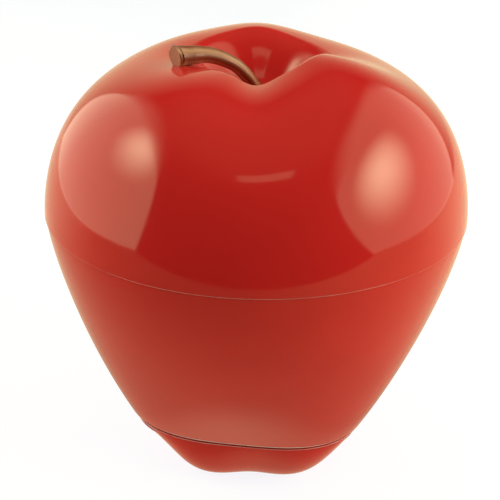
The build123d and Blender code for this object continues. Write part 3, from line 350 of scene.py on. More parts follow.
def makeDomeSkin():
    land = profile["land"]
    end = 2 + profile["dimpleFloor"]
    tree, size, out, grid, azimuth, along = startSkin("domeSkin", -land, end)
    rise = put(tree, mapRange, [along, 0.0, 1.0])
    fall = put(tree, mapRange, [along, 1.0, 2.0])
    angle = put(tree, times, [rise, pi / 2])
    outward = put(tree, largest, [put(tree, cosine, [angle]), 0.0])
    outward = put(tree, raised, [outward, size["shoulder fullness"]])
    span = put(tree, minus, [size["seam radius"], size["crown radius"]])
    radius = put(tree, timesPlus, [outward, span, size["crown radius"]])
    bulge = put(tree, sine, [put(tree, times, [rise, pi])])
    bulge = put(tree, raised, [put(tree, absolute, [bulge]), 2.0])
    radius = put(tree, timesPlus, [bulge, size["cheek bulge"], radius])
    throat = put(tree, minus, [size["dimple radius"], size["crown radius"]])
    radius = put(tree, timesPlus, [fall, throat, radius])
    closing = put(tree, minus, [1.0, put(tree, mapRange, [along, 2.0, end])])
    radius = put(tree, times, [radius, closing])
    inward = put(tree, mapRange, [along, 0.0, -land])
    radius = put(tree, timesPlus, [inward, -rim["domeLand"], radius])
    crown = addLobes(tree, azimuth, crownLobes, size["crown height"])
    edge = put(tree, plus, [size["seam height"], size["edge lift"]])
    climb = put(tree, raised, [put(tree, sine, [angle]), size["rise fullness"]])
    height = put(tree, timesPlus, [climb, put(tree, minus, [crown, edge]), edge])
    dip = put(tree, cosine, [put(tree, times, [fall, pi])])
    dip = put(tree, timesPlus, [dip, 0.5, -0.5])
    depth = put(tree, minus, [crown, size["dimple height"]])
    height = put(tree, timesPlus, [dip, depth, height])
    return endSkin(tree, size, out, grid, azimuth, radius, height, surface)


def makeFlankSkin():
    land = profile["land"]
    tree, size, out, grid, azimuth, along = startSkin("flankSkin", -land, 1 + land)
    rise = put(tree, mapRange, [along, 0.0, 1.0])
    left = put(tree, minus, [1.0, rise])
    top = put(tree, minus, [size["seam radius"], size["overhang"]])
    taper = put(tree, raised, [left, size["flank fullness"]])
    narrowing = put(tree, minus, [size["base radius"], top])
    radius = put(tree, timesPlus, [taper, narrowing, top])
    cheeks = addLobes(tree, azimuth, cheekLobes, -cheekMean)
    fade = put(tree, times, [left, left])
    swell = put(tree, timesPlus, [cheeks, fade, 1.0])
    radius = put(tree, times, [radius, swell])
    for start, beyond, reach in ((0.0, -land, rim["baseLand"]), (1.0, 1 + land, rim["seamLand"])):
        inward = put(tree, mapRange, [along, start, beyond])
        radius = put(tree, timesPlus, [inward, -reach, radius])
    tall = put(tree, minus, [size["seam height"], size["base height"]])
    height = put(tree, timesPlus, [rise, tall, size["base height"]])
    return endSkin(tree, size, out, grid, azimuth, radius, height, surface)


def makeCupSkin():
    land = profile["land"]
    floor = profile["footFloor"]
    tree, size, out, grid, azimuth, along = startSkin("cupSkin", -floor, 1 + land)
    rise = put(tree, mapRange, [along, 0.0, 1.0])
    angle = put(tree, times, [put(tree, minus, [1.0, rise]), pi / 2])
    outward = put(tree, largest, [put(tree, cosine, [angle]), 0.0])
    outward = put(tree, raised, [outward, size["cup fullness"]])
    span = put(tree, minus, [size["cup rim"], size["foot radius"]])
    radius = put(tree, timesPlus, [outward, span, size["foot radius"]])
    steep = put(tree, sine, [angle])
    footShare = put(tree, raised, [steep, size["foot blend"]])
    wave = put(tree, cosine, [put(tree, times, [azimuth, size["foot bumps"]])])
    bumps = put(tree, times, [put(tree, times, [wave, -1.0]), size["foot swell"]])
    cheeks = addLobes(tree, azimuth, cheekLobes, -cheekMean)
    upper = put(tree, minus, [1.0, footShare])
    swell = put(tree, timesPlus, [cheeks, upper, 1.0])
    swell = put(tree, timesPlus, [bumps, footShare, swell])
    radius = put(tree, times, [radius, swell])
    closing = put(tree, minus, [1.0, put(tree, mapRange, [along, 0.0, -floor])])
    radius = put(tree, times, [radius, closing])
    inward = put(tree, mapRange, [along, 1.0, 1 + land])
    radius = put(tree, timesPlus, [inward, -rim["cupLand"], radius])
    drop = put(tree, raised, [steep, size["cup drop"]])
    fallen = put(tree, minus, [size["foot height"], size["cup top"]])
    height = put(tree, timesPlus, [drop, fallen, size["cup top"]])
    return endSkin(tree, size, out, grid, azimuth, radius, height, surface)


def innerForms(node):   # a copy of a CAD shell without its show surface and the flat lands beside it
    work = bmesh.new()
    work.from_mesh(nodes[node].data)
    bmesh.ops.remove_doubles(work, verts=work.verts, dist=shellCut["weld"])
    work.faces.ensure_lookup_table()

    def region(start, limit):   # the faces reached from one without turning by more than the limit
        found, edge = {start}, [start]
        while edge:
            face = edge.pop()
            for side in face.edges:
                for other in side.link_faces:
                    if other not in found and other.normal.angle(face.normal, pi) < limit:
                        found.add(other)
                        edge.append(other)
        return found

    upright = [face for face in work.faces if abs(face.normal.z) < shellCut["upright"]]
    outermost = max(upright, key=lambda face: hypot(*face.calc_center_median().xy))
    show = region(outermost, shellCut["showTurn"])
    lands = set()
    for face in show:
        for side in face.edges:
            for other in side.link_faces:
                if other not in show and abs(other.normal.z) > shellCut["level"]:
                    lands |= region(other, shellCut["landTurn"])
    bmesh.ops.delete(work, geom=list(show | lands), context="FACES")
    inner = bpy.data.meshes.new(node + "Inner")
    work.to_mesh(inner)
    work.free()
    inner.materials.append(machinedRedAbs)
    return inner


def putInOrder(elements, spot):   # a bevel orders them anew at every run
    ranks = {element: rank for rank, element in enumerate(sorted(elements, key=spot))}
    elements.sort(key=ranks.get)


def rollRims(skin, rims):   # rolls the skin's sharp rims, each given by its height and radius
    work = bmesh.new()
    work.from_mesh(skin.data)
    for height, roll in rims:
        ring = [edge for edge in work.edges if edge.is_manifold and edge.calc_face_angle() > rim["sharp"]
                and all(abs(vert.co.z - height) < rim["band"] for vert in edge.verts)]
        bmesh.ops.bevel(work, geom=ring, offset=roll, offset_type="OFFSET", segments=rim["steps"],
                        profile=0.5, affect="EDGES", clamp_overlap=False)
    putInOrder(work.verts, lambda vert: vert.co[:])
    putInOrder(work.faces, lambda face: face.calc_center_median()[:])
    work.to_mesh(skin.data)
    work.free()


def makeShell(name, node, body, skin, rims):   # the moulded shell: polished outside, plain core side inside
    rollRims(skin, rims)
    shell = linkNew(name, joinMeshes(name, [skin.data, innerForms(node)]))
    bpy.data.objects.remove(skin)
    shadeByAngle(shell, rim["smooth"])
    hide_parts(node)
    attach(shell, body)
    print(name, "made,", len(shell.data.polygons), "faces")


domeRims = [(surface["seam height"] + surface["edge lift"], rim["seamRoll"])]
flankRims = [(surface["seam height"], rim["seamRoll"]), (surface["base height"], rim["baseRoll"])]
cupRims = [(surface["cup top"], rim["cupRoll"])]
makeShell("appleDome", "dome", "dome", makeDomeSkin(), domeRims)
makeShell("appleFlank", "lower_shell", "case", makeFlankSkin(), flankRims)
makeShell("appleFoot", "core_cup", "base", makeCupSkin(), cupRims)


# one M3 pan head screw, in millimetres; the head's outline is in shares of its radius and height
screwForm = {
    "smooth": 30, "shank": 1.5, "pitch": 0.5, "thread": 0.25, "neck": 0.6, "point": 0.8,
    "pointWidth": 0.7, "head": 2.9, "headHeight": 2.2, "segments": 24,
    "outline": ((0, 1), (0.55, 0.98), (0.82, 0.85), (0.96, 0.6), (1, 0.25), (0.98, 0)),
    "crossWidth": 0.75, "crossReach": 1.6, "crossDepth": 1.2, "crossAbove": 0.3, "crossTaper": 0.45}
# each set's name, node, body, places in millimetres, and whether its heads are below
screwSets = (
    ("deckScrews", "deck_screws", "case", onCircle(4, 47.0, 45), False),
    ("rodScrews", "rod_screws", "case", [(-20.0, 50.0), (20.0, 50.0)], False),
    ("gearScrews", "gear_screws", "dome", onCircle(5, 75.0, 36), True),
    ("sleeveScrews", "sleeve_screws", "dome", onCircle(3, 19.4), True),
    ("stemScrew", "stem_screw", "dome", [(0, 0)], True))


def meshFrom(name, work):   # a mesh from worked faces, all turned outwards
    bmesh.ops.recalc_face_normals(work, faces=work.faces)
    mesh = bpy.data.meshes.new(name)
    work.to_mesh(mesh)
    work.free()
    return mesh


def makeScrewBlank(length):   # domed head with a cross recess, ringed shank and a blunt point
    form = screwForm
    shank = form["shank"]
    outline = [(form["head"] * wide, form["headHeight"] * tall) for wide, tall in form["outline"]]
    outline.append((shank, 0))
    depth = form["neck"]
    while depth < length - form["point"]:
        outline += [(shank, -depth), (shank - form["thread"], -depth - form["pitch"] / 2)]
        depth += form["pitch"]
    outline += [(shank, -depth), (shank * form["pointWidth"], -length), (0, -length)]
    work = bmesh.new()
    addTurned(work, [(r * mm, z * mm) for r, z in outline], form["segments"])
    screw = linkNew("screwBlank", meshFrom("screwBlank", work))
    cross = bmesh.new()
    levels = ((form["headHeight"] + form["crossAbove"], 1.0),
              (form["headHeight"] - form["crossDepth"], form["crossTaper"]))
    for turn in (0, pi / 2):
        corners = []
        for z, taper in levels:
            for x, y in ((1, 1), (-1, 1), (-1, -1), (1, -1)):
                spot = Vector((x * form["crossReach"] * taper, y * form["crossWidth"] / 2, z)) * mm
                corners.append(cross.verts.new(Matrix.Rotation(turn, 3, "Z") @ spot))
        for face in ((0, 1, 2, 3), (7, 6, 5, 4), (0, 4, 5, 1), (1, 5, 6, 2), (2, 6, 7, 3), (3, 7, 4, 0)):
            cross.faces.new([corners[i] for i in face])
    cutter = linkNew("recess", meshFrom("recess", cross))
    modifier = screw.modifiers.new("recess", "BOOLEAN")
    modifier.object = cutter
    modifier.use_self = True
    bake(screw)
    bpy.data.objects.remove(cutter)
    return screw


def screwTree():   # one screw on each point of a mesh, turned at random about its own axis
    tree, given, out = newTree("screwsInHoles", {"tilt": 0.0, "finish": zincPlate})
    tree.interface.new_socket("screw", in_out="INPUT", socket_type="NodeSocketObject")
    pick = put(tree, "GeometryNodeObjectInfo", {"Object": given["screw"], "As Instance": True})
    dots = put(tree, "GeometryNodeMeshToPoints", [given["Geometry"]])
    spin = put(tree, "FunctionNodeRandomValue", {"Min": 0.0, "Max": 2 * pi, "Seed": 7})
    turn = put(tree, combine, {"X": given["tilt"], "Z": spin.outputs[1]})
    sockets = {"Points": dots, "Rotation": turn, "Instance": pick.outputs["Geometry"]}
    placed = put(tree, "GeometryNodeInstanceOnPoints", sockets)
    real = put(tree, realize, [placed])
    plug(tree, out, [put(tree, setMaterial, {"Geometry": real, "Material": given["finish"]})])
    return tree


screwsInHoles = screwTree()


def makeScrews(name, node, body, places, upward):
    low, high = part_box(node)
    head = screwForm["headHeight"] * mm
    seat = low.z + head if upward else high.z - head
    blank = makeScrewBlank((high.z - low.z - head) / mm)
    dots = bpy.data.meshes.new(name)
    dots.from_pydata([(x * mm, y * mm, seat) for x, y in places], [], [])
    sizes = {"tilt": pi if upward else 0.0, "finish": zincPlate, "screw": blank}
    screws = grow(name, screwsInHoles, sizes, dots)
    bpy.data.objects.remove(blank)
    shadeByAngle(screws, screwForm["smooth"])
    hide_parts(node)
    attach(screws, body)


for screwSet in screwSets:
    makeScrews(*screwSet)
print("screws made")


# deadPitch is a dead turn's pitch in wire radii; steps and sides are those of the wire's mesh
coilForm = {"deadPitch": 2.02, "steps": 40, "sides": 10, "smooth": 60}
holderCoil = {"coil radius": 9.0 * mm, "wire radius": 0.7 * mm, "turns": 5.0, "dead turns": 1.0}
armCoil = {"coil radius": 3.3 * mm, "wire radius": 0.3 * mm, "turns": 3.0, "dead turns": 0.5}
armCoilPlace = (34.0 * mm, 41.0 * mm)


def coilTree():   # round wire along a spiral stretched in three parts: dead turns, open turns, dead turns
    tree, size, out = newTree("coiledWire", {**holderCoil, "length": 40 * mm, "finish": drawnWire})
    whole = put(tree, timesPlus, [size["dead turns"], 2.0, size["turns"]])
    wide = size["coil radius"]
    wound = {"Resolution": coilForm["steps"], "Rotations": whole, "Start Radius": wide, "End Radius": wide}
    line = put(tree, "GeometryNodeCurveSpiral", {**wound, "Height": 1.0})
    spot = put(tree, split, [put(tree, position)]).outputs
    low = put(tree, over, [size["dead turns"], whole])
    high = put(tree, minus, [1.0, low])
    wire = put(tree, times, [size["wire radius"], coilForm["deadPitch"]])
    flat = put(tree, times, [wire, size["dead turns"]])
    span = put(tree, timesPlus, [size["wire radius"], -2.0, size["length"]])
    rest = put(tree, timesPlus, [flat, -2.0, span])
    first = put(tree, mapRange, [spot["Z"], 0.0, low, 0.0, flat])
    main = put(tree, mapRange, [spot["Z"], low, high, 0.0, rest])
    last = put(tree, mapRange, [spot["Z"], high, 1.0, 0.0, flat])
    climb = put(tree, plus, [put(tree, plus, [first, main]), last])
    climb = put(tree, plus, [climb, size["wire radius"]])
    place = put(tree, combine, [spot["X"], spot["Y"], climb])
    coil = put(tree, setPosition, {"Geometry": line, "Position": place})
    circle = {"Resolution": coilForm["sides"], "Radius": size["wire radius"]}
    ring = put(tree, "GeometryNodeCurvePrimitiveCircle", circle)
    drawn = put(tree, "GeometryNodeCurveToMesh", {"Curve": coil, "Profile Curve": ring, "Fill Caps": True})
    real = put(tree, realize, [put(tree, smoothFaces, [drawn])])
    plug(tree, out, [put(tree, setMaterial, {"Geometry": real, "Material": size["finish"]})])
    return tree


coiledWire = coilTree()


def makeCoil(name, node, body, sizes, at=(0, 0)):
    low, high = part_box(node)
    length = high.z - low.z
    coil = grow(name, coiledWire, {**sizes, "length": length, "finish": drawnWire})
    coil.data.transform(Matrix.Translation((*at, low.z)))
    shadeByAngle(coil, coilForm["smooth"])
    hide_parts(node)
    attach(coil, body)
    return coil, length, high.z


coil, length, top = makeCoil("holderCoil", "holder_spring", "dome", holderCoil)
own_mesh(coil)
makeCoil("armCoil", "arm_spring", "carriage", armCoil, armCoilPlace)
print("springs made")


# radii and heights of the bar; the flank is where the thread rises, in shares of half its pitch
leadForm = {
    "journal": 3.0 * mm, "root": 3.25 * mm, "crest": 4.0 * mm, "pitch": 1.25 * mm,
    "flank": (0.1, 0.4), "threadLow": 46.5 * mm, "threadHigh": 142.5 * mm, "runOut": 1.0 * mm,
    "grooveLow": 160.75 * mm, "grooveHigh": 161.75 * mm, "grooveDepth": 0.8 * mm,
    "grooveEdge": 0.05 * mm, "cap": 0.15 * mm, "axis": 52.0 * mm, "sides": 20, "smooth": 28}


def makeLeadScrew():   # turned bar with a rolled trapezoid thread: the radius follows height and azimuth
    low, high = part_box("lead_screw")
    form = leadForm
    sizes = {key: form[key] for key in ("journal", "root", "crest", "pitch")}
    sizes["finish"] = groundSteel
    tree, size, out = newTree("threadedBar", sizes)
    sides = form["sides"]   # and as many rows in a turn, so that the thread runs along the mesh's diagonals
    rows = round((high.z - low.z) / form["pitch"] * sides) + 1
    grid = put(tree, meshGrid, [2 * pi, high.z - low.z, sides + 1, rows])
    spot = put(tree, split, [put(tree, position)]).outputs
    height = put(tree, plus, [spot["Y"], (high.z + low.z) / 2])
    climbed = put(tree, over, [height, size["pitch"]])
    phase = put(tree, timesPlus, [spot["X"], -1 / (2 * pi), climbed])
    saw = put(tree, zigzag, [phase, 0.5])
    thread = put(tree, mapRange, [saw, *form["flank"], size["root"], size["crest"]])
    start = put(tree, mapRange, [height, form["threadLow"], form["threadLow"] + form["runOut"]])
    stop = put(tree, mapRange, [height, form["threadHigh"], form["threadHigh"] - form["runOut"]])
    threaded = put(tree, times, [start, stop])
    radius = put(tree, mixNumber, {0: threaded, 2: size["journal"], 3: thread})
    edge = form["grooveEdge"]
    above = put(tree, mapRange, [height, form["grooveLow"] - edge, form["grooveLow"] + edge])
    below = put(tree, mapRange, [height, form["grooveHigh"] + edge, form["grooveHigh"] - edge])
    groove = put(tree, times, [above, below])
    radius = put(tree, timesPlus, [groove, -form["grooveDepth"], radius])
    foot = put(tree, mapRange, [height, low.z, low.z + form["cap"]])
    head = put(tree, mapRange, [height, high.z, high.z - form["cap"]])
    radius = put(tree, times, [radius, put(tree, times, [foot, head])])
    bar = endSkin(tree, size, out, grid, spot["X"], radius, height, sizes)
    bar.data.transform(Matrix.Translation((0, form["axis"], 0)))
    shadeByAngle(bar, form["smooth"])
    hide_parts("lead_screw")
    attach(bar, "screw")
    print("lead screw made,", len(bar.data.polygons), "faces")


makeLeadScrew()


# the stalk, in millimetres from its foot; heights of edges, grooves and knots are shares of the radius
stemForm = {
    "path": ((0, 0, 0), (-0.4, -0.5, 5), (-3.4, -2.5, 10.8), (-10.5, -5.5, 18.9), (-21, -9, 24.0),
             (-31, -13.5, 25.0), (-36.5, -16.5, 24.9)),
    "radii": (3.8, 3.1, 2.8, 2.9, 3.3, 4.0, 4.8), "cut": (-0.8, -0.6, -0.12), "steps": 14,
    "sides": 64, "edges": 4, "edgeHeight": 0.2, "edgeRise": 0.35, "hollow": 0.75, "hollowShape": 1.3,
    "endFlat": 0.35, "phase": 12, "twist": 14, "turnLength": 5, "turnShape": 1.5,
    "groovePlace": 1.5, "grooveWidth": 0.32, "grooveDepth": 0.13, "lip": 0.04, "lipWidth": 0.9,
    "knots": ((0.012, 0.9), (0.008, 2.3)),   # height, and how fast they follow along the stalk
    "end": ((0.96, 0.22), (0.9, 0.3), (0.82, 0.26), (0.4, 0.2)),   # share of the rim, how far forward
    "endStep": 0.3,
    "collar": ((0, 0), (5.4, 0), (5.4, 0.9), (5.05, 1.35), (3.8, 2.0), (3.2, 2.8), (0, 2.8)),
    "collarSides": 48, "smooth": 40}
# fibres run 26 to the way round and 200 to the metre along: streaks 0.8 mm wide and 5 mm long
stemFinish = {"colour": "#80432C", "shade": "#C0906C", "sheen": "#FFE8DA", "gloss": (0.24, 0.42),
              "faces": 4.0, "wipe": (0.3, 0.6), "ragged": 0.3, "fibres": (26, 200, 1), "depth": 0.06 * mm}
stemEndFinish = {"colour": "#A05E46", "shade": "#B27258", "roughness": 0.5, "gloss": (0.42, 0.6),
                 "pocks": 1.6 * mm, "grain": 0.5 * mm, "depth": 0.05 * mm}


def makeStemFinish():   # ABS sprayed dark and wiped: tan along the hollow faces, red brown beside the edges
    form = stemFinish
    plain = {"IOR": 1.54, "Roughness": form["gloss"][0], "Specular Tint": linearColour(form["sheen"])}
    finish, tree, shader = newFinish("wipedBrownAbs", plain)
    strand = put(tree, ("ShaderNodeUVMap", {"uv_map": "strand"}))
    fibres = put(tree, "ShaderNodeMapping", {"Vector": strand, "Scale": form["fibres"]})
    grain = {"Scale": 1.0, "Detail": 4.0, "Roughness": 0.55, "Distortion": 0.3}
    streak = put(tree, noise, {"Vector": fibres, **grain})
    around = put(tree, split, [strand]).outputs["X"]
    hollow = put(tree, zigzag, [put(tree, times, [around, form["faces"]]), 0.5])
    wiped = put(tree, timesPlus, [streak, form["ragged"], hollow])
    gloss = put(tree, mapRange, [streak, *noiseSpan, *form["gloss"]])
    coat(tree, shader, form, put(tree, mapRange, [wiped, *form["wipe"]]), gloss, streak)
    return finish


def makeStemEndFinish():   # the cut end: bare moulded ABS, flat and nearly matt, pocked by the sprue
    form = stemEndFinish
    finish, tree, shader = newFinish("cutBrownAbs", {"IOR": 1.54, "Roughness": form["roughness"]})
    lumps = {"Vector": put(tree, textureCoordinate).outputs["Object"], "Roughness": 0.55}
    pocks = put(tree, noise, {**lumps, "Scale": 1 / form["pocks"], "Detail": 3.0})
    gloss = put(tree, mapRange, [pocks, *noiseSpan, *form["gloss"]])
    grain = put(tree, noise, {**lumps, "Scale": 1 / form["grain"], "Detail": 2.0})
    coat(tree, shader, form, put(tree, mapRange, [pocks, *noiseSpan]), gloss, grain)
    return finish


def stemSpots():   # evenly numbered spots along the stalk's smooth path, with the way it runs and its radius
    base = Vector((0, 0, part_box("stem")[0].z))
    knots = [base + Vector(p) * mm for p in stemForm["path"]]
    radii, steps = stemForm["radii"], stemForm["steps"]
    spots = []
    for step in range((len(knots) - 1) * steps + 1):
        part = min(step // steps, len(knots) - 2)
        t = step / steps - part
        a, b, c, d = (knots[min(max(part + k, 0), len(knots) - 1)] for k in (-1, 0, 1, 2))
        bend = 2 * a - 5 * b + 4 * c - d
        turn = 3 * b - a - 3 * c + d
        spot = 0.5 * (2 * b + (c - a) * t + bend * t * t + turn * t ** 3)
        way = ((c - a) + 2 * bend * t + 3 * turn * t * t).normalized()
        ease = 3 * t * t - 2 * t ** 3
        spots.append((spot, way, (radii[part] + (radii[part + 1] - radii[part]) * ease) * mm))
    return spots


def makeStem():
    form = stemForm
    sides = form["sides"]
    spots = stemSpots()
    cut = Vector(form["cut"]).normalized()
    work = bmesh.new()
    strand = work.loops.layers.uv.new("strand")
    lengths = [0.0]
    for (here, _, _), (there, _, _) in zip(spots, spots[1:]):
        lengths.append(lengths[-1] + (there - here).length)
    whole = lengths[-1]
    rings = []
    side = Vector((1, 0, 0))
    for (spot, way, radius), length in zip(spots, lengths):
        toEnd = (whole - length) / mm
        turned = max(0.0, 1 - toEnd / form["turnLength"]) ** form["turnShape"]
        way = way.lerp(cut, turned).normalized()
        side = (side - way * side.dot(way)).normalized()
        up = way.cross(side)
        groove = form["grooveDepth"] * exp(-((toEnd - form["groovePlace"]) / form["grooveWidth"]) ** 2)
        radius *= 1 - groove + form["lip"] * exp(-(toEnd / form["lipWidth"]) ** 2)
        radius *= 1 + sum(height * sin(length / mm * rate) for height, rate in form["knots"])
        ring = []
        for i in range(sides):
            middle = 1 - 2 * abs((form["edges"] * i / sides) % 1 - 0.5)   # 0 on an edge, 1 between two
            swell = form["edgeHeight"] * (form["edgeRise"] - middle ** form["hollowShape"] * form["hollow"])
            out = radius * (1 + swell * (1 - form["endFlat"] * turned))
            angle = 2 * pi * i / sides + radians(form["phase"] + form["twist"] * length / whole)
            ring.append(work.verts.new(spot + side * cos(angle) * out + up * sin(angle) * out))
        rings.append(ring)
    stalk = len(rings)
    end = sum((vert.co for vert in rings[-1]), Vector()) / sides
    lastRing = [vert.co.copy() for vert in rings[-1]]
    for inset, forward in form["end"]:   # the rounded rim and the flat of the cut
        rings.append([work.verts.new(end + (spot - end) * inset + cut * forward * mm) for spot in lastRing])
        lengths.append(lengths[-1] + form["endStep"] * mm)
    for k in range(len(rings) - 1):
        for i in range(sides):
            j = (i + 1) % sides
            face = work.faces.new((rings[k][i], rings[k][j], rings[k + 1][j], rings[k + 1][i]))
            face.material_index = 1 if k > stalk else 0
            for loop, (u, v) in zip(face.loops, ((i, k), (i + 1, k), (i + 1, k + 1), (i, k + 1))):
                loop[strand].uv = (u / sides, lengths[v])
    for ring, number in ((rings[0], 0), (rings[-1], 1)):
        heart = work.verts.new(sum((vert.co for vert in ring), Vector()) / sides)
        for i in range(sides):
            work.faces.new((ring[i], ring[(i + 1) % sides], heart)).material_index = number
    addTurned(work, [(r * mm, z * mm + spots[0][0].z) for r, z in form["collar"]], form["collarSides"])
    mesh = meshFrom("appleStem", work)
    mesh.materials.append(makeStemFinish())
    mesh.materials.append(makeStemEndFinish())
    stem = shadeByAngle(linkNew("appleStem", mesh), form["smooth"])
    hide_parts("stem")
    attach(stem, "dome")
    print("stem made")


makeStem()


# the CAD nodes that stay: how they are welded, and each one's finish and rolled edge
weldForm = {"gap": 0.005 * mm, "sharp angle": radians(32)}
finishOf = {
    "foot_pads": pittedRubber, "deck": satinWhiteAbs, "deck_bush": waxyAcetal,
    "screw_bushes": waxyAcetal, "guide_rods": groundSteel, "bearing_plate": satinWhiteAbs,
    "fork": satinWhiteAbs, "prongs": rolledStainless, "coring_tube": rolledStainless,
    "fork_clip": drawnWire, "pinion": naturalNylon, "pinion_clip": drawnWire,
    "carriage": satinWhiteAbs, "carriage_nut": turnedBrass, "arm_pin": groundSteel,
    "peeler_arm": castZinc, "blade_head": satinWhiteAbs, "peel_blade": rolledStainless,
    "glide_ring": waxyAcetal, "ring_gear": naturalNylon, "holder_sleeve": satinWhiteAbs,
    "apple_holder": satinWhiteAbs, "holder_spikes": rolledStainless}
edgeOf = {
    "deck": 0.3 * mm, "bearing_plate": 0.3 * mm, "fork": 0.25 * mm, "glide_ring": 0.25 * mm,
    "holder_sleeve": 0.25 * mm, "apple_holder": 0.25 * mm, "carriage": 0.2 * mm,
    "ring_gear": 0.15 * mm, "pinion": 0.15 * mm, "blade_head": 0.15 * mm}
rolledForm = {"segments": 2, "sharp angle": radians(50)}


def weldTree():   # joins a CAD mesh's loose triangles and shades it smooth up to an angle
    tree, given, out = newTree("weldAndShade", {**weldForm, "finish": satinWhiteAbs})
    welded = put(tree, mergeClose, {"Geometry": given["Geometry"], "Distance": given["gap"]})
    angle = put(tree, "GeometryNodeInputMeshEdgeAngle").outputs["Unsigned Angle"]
    soft = put(tree, ("FunctionNodeCompare", {"operation": "LESS_THAN"}), [angle, given["sharp angle"]])
    faces = put(tree, smoothFaces, {"Geometry": welded, "Shade Smooth": True})
    edges = put(tree, smoothEdges, {"Geometry": faces, "Shade Smooth": soft})
    real = put(tree, realize, [edges])
    plug(tree, out, [put(tree, setMaterial, {"Geometry": real, "Material": given["finish"]})])
    return tree


weldAndShade = weldTree()
for name, finish in finishOf.items():
    part = nodes[name]
    part.data.materials.clear()
    part.data.materials.append(finish)
    addTree(part, "weld", weldAndShade, {**weldForm, "finish": finish})
    if name in edgeOf:
        rolled = part.modifiers.new("rolledEdges", "BEVEL")
        rolled.width = edgeOf[name]
        rolled.segments = rolledForm["segments"]
        rolled.limit_method = "ANGLE"
        rolled.angle_limit = rolledForm["sharp angle"]
        rolled.harden_normals = True
print("CAD parts dressed")


# angles in degrees; the lens is in millimetres on a sensor of this width
camera = {"place": (0.0, -0.44, 0.31765), "down": 25.33, "roll": 1.25, "lens": 71.424, "sensor": 36.0,
          "shift": (-0.0107, 0.0005), "clip": (0.01, 50)}
eye = bpy.data.cameras.new("eye")
eye.sensor_width = camera["sensor"]
eye.lens = camera["lens"]
eye.shift_x, eye.shift_y = camera["shift"]
eye.clip_start, eye.clip_end = camera["clip"]
scene.camera = linkNew("eye", eye)
tilt = Matrix.Rotation(radians(90 - camera["down"]), 4, "X")
roll = Matrix.Rotation(radians(camera["roll"]), 4, "Z")
scene.camera.matrix_world = Matrix.Translation(camera["place"]) @ tilt @ roll


# lamps in metres; radiance is the brightness of a lamp's face, where 1 is white
lampColour = "#FFFADC"
lamps = {
    "strip": {"place": (0.019, -0.722, 1.128), "aim": (0, 0, 0.17), "size": (0.29, 0.11), "roll": -4,
              "radiance": 1.0, "inGloss": True},
    "topLight": {"place": (-0.4, 0.2, 1.5), "aim": (0, 0, 0.1), "size": (1.6, 1.6), "roll": 0,
                 "radiance": 0.78, "inGloss": False},
    "bounce": {"place": (0.0, -0.05, 0.001), "aim": (0, -0.05, 1), "size": (1.3, 0.85), "roll": 0,
               "radiance": 0.68, "inGloss": False}}
# both stand upright beside the object; centre and bulb are given by depth and height
umbrellas = {
    "leftUmbrella": {"side": -0.95, "centre": (0.38, 0.48), "radius": 1.07, "edge": 0.03, "edgeAbove": 0.9,
                     "radiance": 2.1, "rearShare": 0.6,
                     "bulb": (-0.12, 0.95), "bulbRadiance": 5.5, "bulbReach": 0.5},
    "rightUmbrella": {"side": 0.95, "centre": (0.04, 1.0), "radius": 1.2, "edge": 0.03, "edgeAbove": 0.8,
                      "radiance": 1.5, "rearShare": 0.75,
                      "bulb": (-0.36, 0.66), "bulbRadiance": 7.2, "bulbReach": 0.55}}
umbrellaEdge = {"heights": (0.8, 1.4), "outward": 0.3, "room": 2.6}   # where it softens; the lamp's width


def makeLamp(name, form):   # an area lamp that the camera doesn't see
    lamp = bpy.data.lights.new(name, "AREA")
    lamp.shape = "RECTANGLE"
    lamp.size, lamp.size_y = form["size"]
    lamp.color = linearColour(lampColour)[:3]
    lamp.energy = form["radiance"] * form["size"][0] * form["size"][1] * pi
    stand = linkNew(name, lamp)
    aim = (Vector(form["aim"]) - Vector(form["place"])).to_track_quat("-Z", "Y").to_matrix().to_4x4()
    roll = Matrix.Rotation(radians(form["roll"]), 4, "Z")
    stand.matrix_world = Matrix.Translation(form["place"]) @ aim @ roll
    stand.visible_camera = False
    stand.visible_glossy = form["inGloss"]
    return lamp


def makeUmbrella(name, form):   # a round shoot-through umbrella: its bulb glows through, its rear is dimmer
    y, z = form["centre"]
    reach = form["radius"]
    width = umbrellaEdge["room"] * reach
    lamp = makeLamp(name, {"place": (form["side"], y, z), "aim": (0, y, z), "size": (width, width),
                           "roll": 0, "radiance": 1.0, "inGloss": True})
    lamp.use_nodes = True
    tree = lamp.node_tree
    spot = put(tree, split, [put(tree, "ShaderNodeNewGeometry").outputs["Position"]]).outputs
    flat = put(tree, combine, {"Y": spot["Y"], "Z": spot["Z"]})
    bright, edge = form["radiance"], form["edge"]
    dim = put(tree, mapRange, [spot["Y"], -reach, reach, bright, bright * form["rearShare"]])
    blur = put(tree, easeRange, [spot["Z"], *umbrellaEdge["heights"], edge, edge + form["edgeAbove"]])
    outer = put(tree, timesPlus, [blur, umbrellaEdge["outward"], reach])
    inner = put(tree, minus, [outer, blur])
    fromCentre = put(tree, distance, [flat, (0.0, y, z)])
    fade = put(tree, easeRange, [fromCentre, outer, inner])
    fromBulb = put(tree, distance, [flat, (0.0, *form["bulb"])])
    bulb = put(tree, easeRange, [fromBulb, form["bulbReach"], 0.0, 0.0, form["bulbRadiance"]])
    lit = put(tree, times, [put(tree, plus, [dim, bulb]), fade])
    plug(tree, tree.nodes["Emission"], {"Strength": lit})


for name, form in umbrellas.items():
    makeUmbrella(name, form)
for name, form in lamps.items():
    makeLamp(name, form)
print("lamps set")


# a matt white paper table: its cream tone grows to the right, and it glows for the camera and in gloss; in
# gloss the glow grows towards the back and holds a painted pool of light under the foot
paper = {"edges": (-1.0, 1.0, -0.52, 1.6), "below": 0.05 * mm, "colour": "#FFECC6", "roughness": 0.9,
         "tone": (0.19, 0.42), "toneFrom": (0.0, 0.3), "glow": 0.92, "glowColour": "#F4F9FF",
         "inGloss": (0.12, 0.8), "inGlossFrom": (-0.2, 0.3), "paintedFootGlow": 0.4,
         "paintedFootGlowFrom": (0.075, 0.05)}


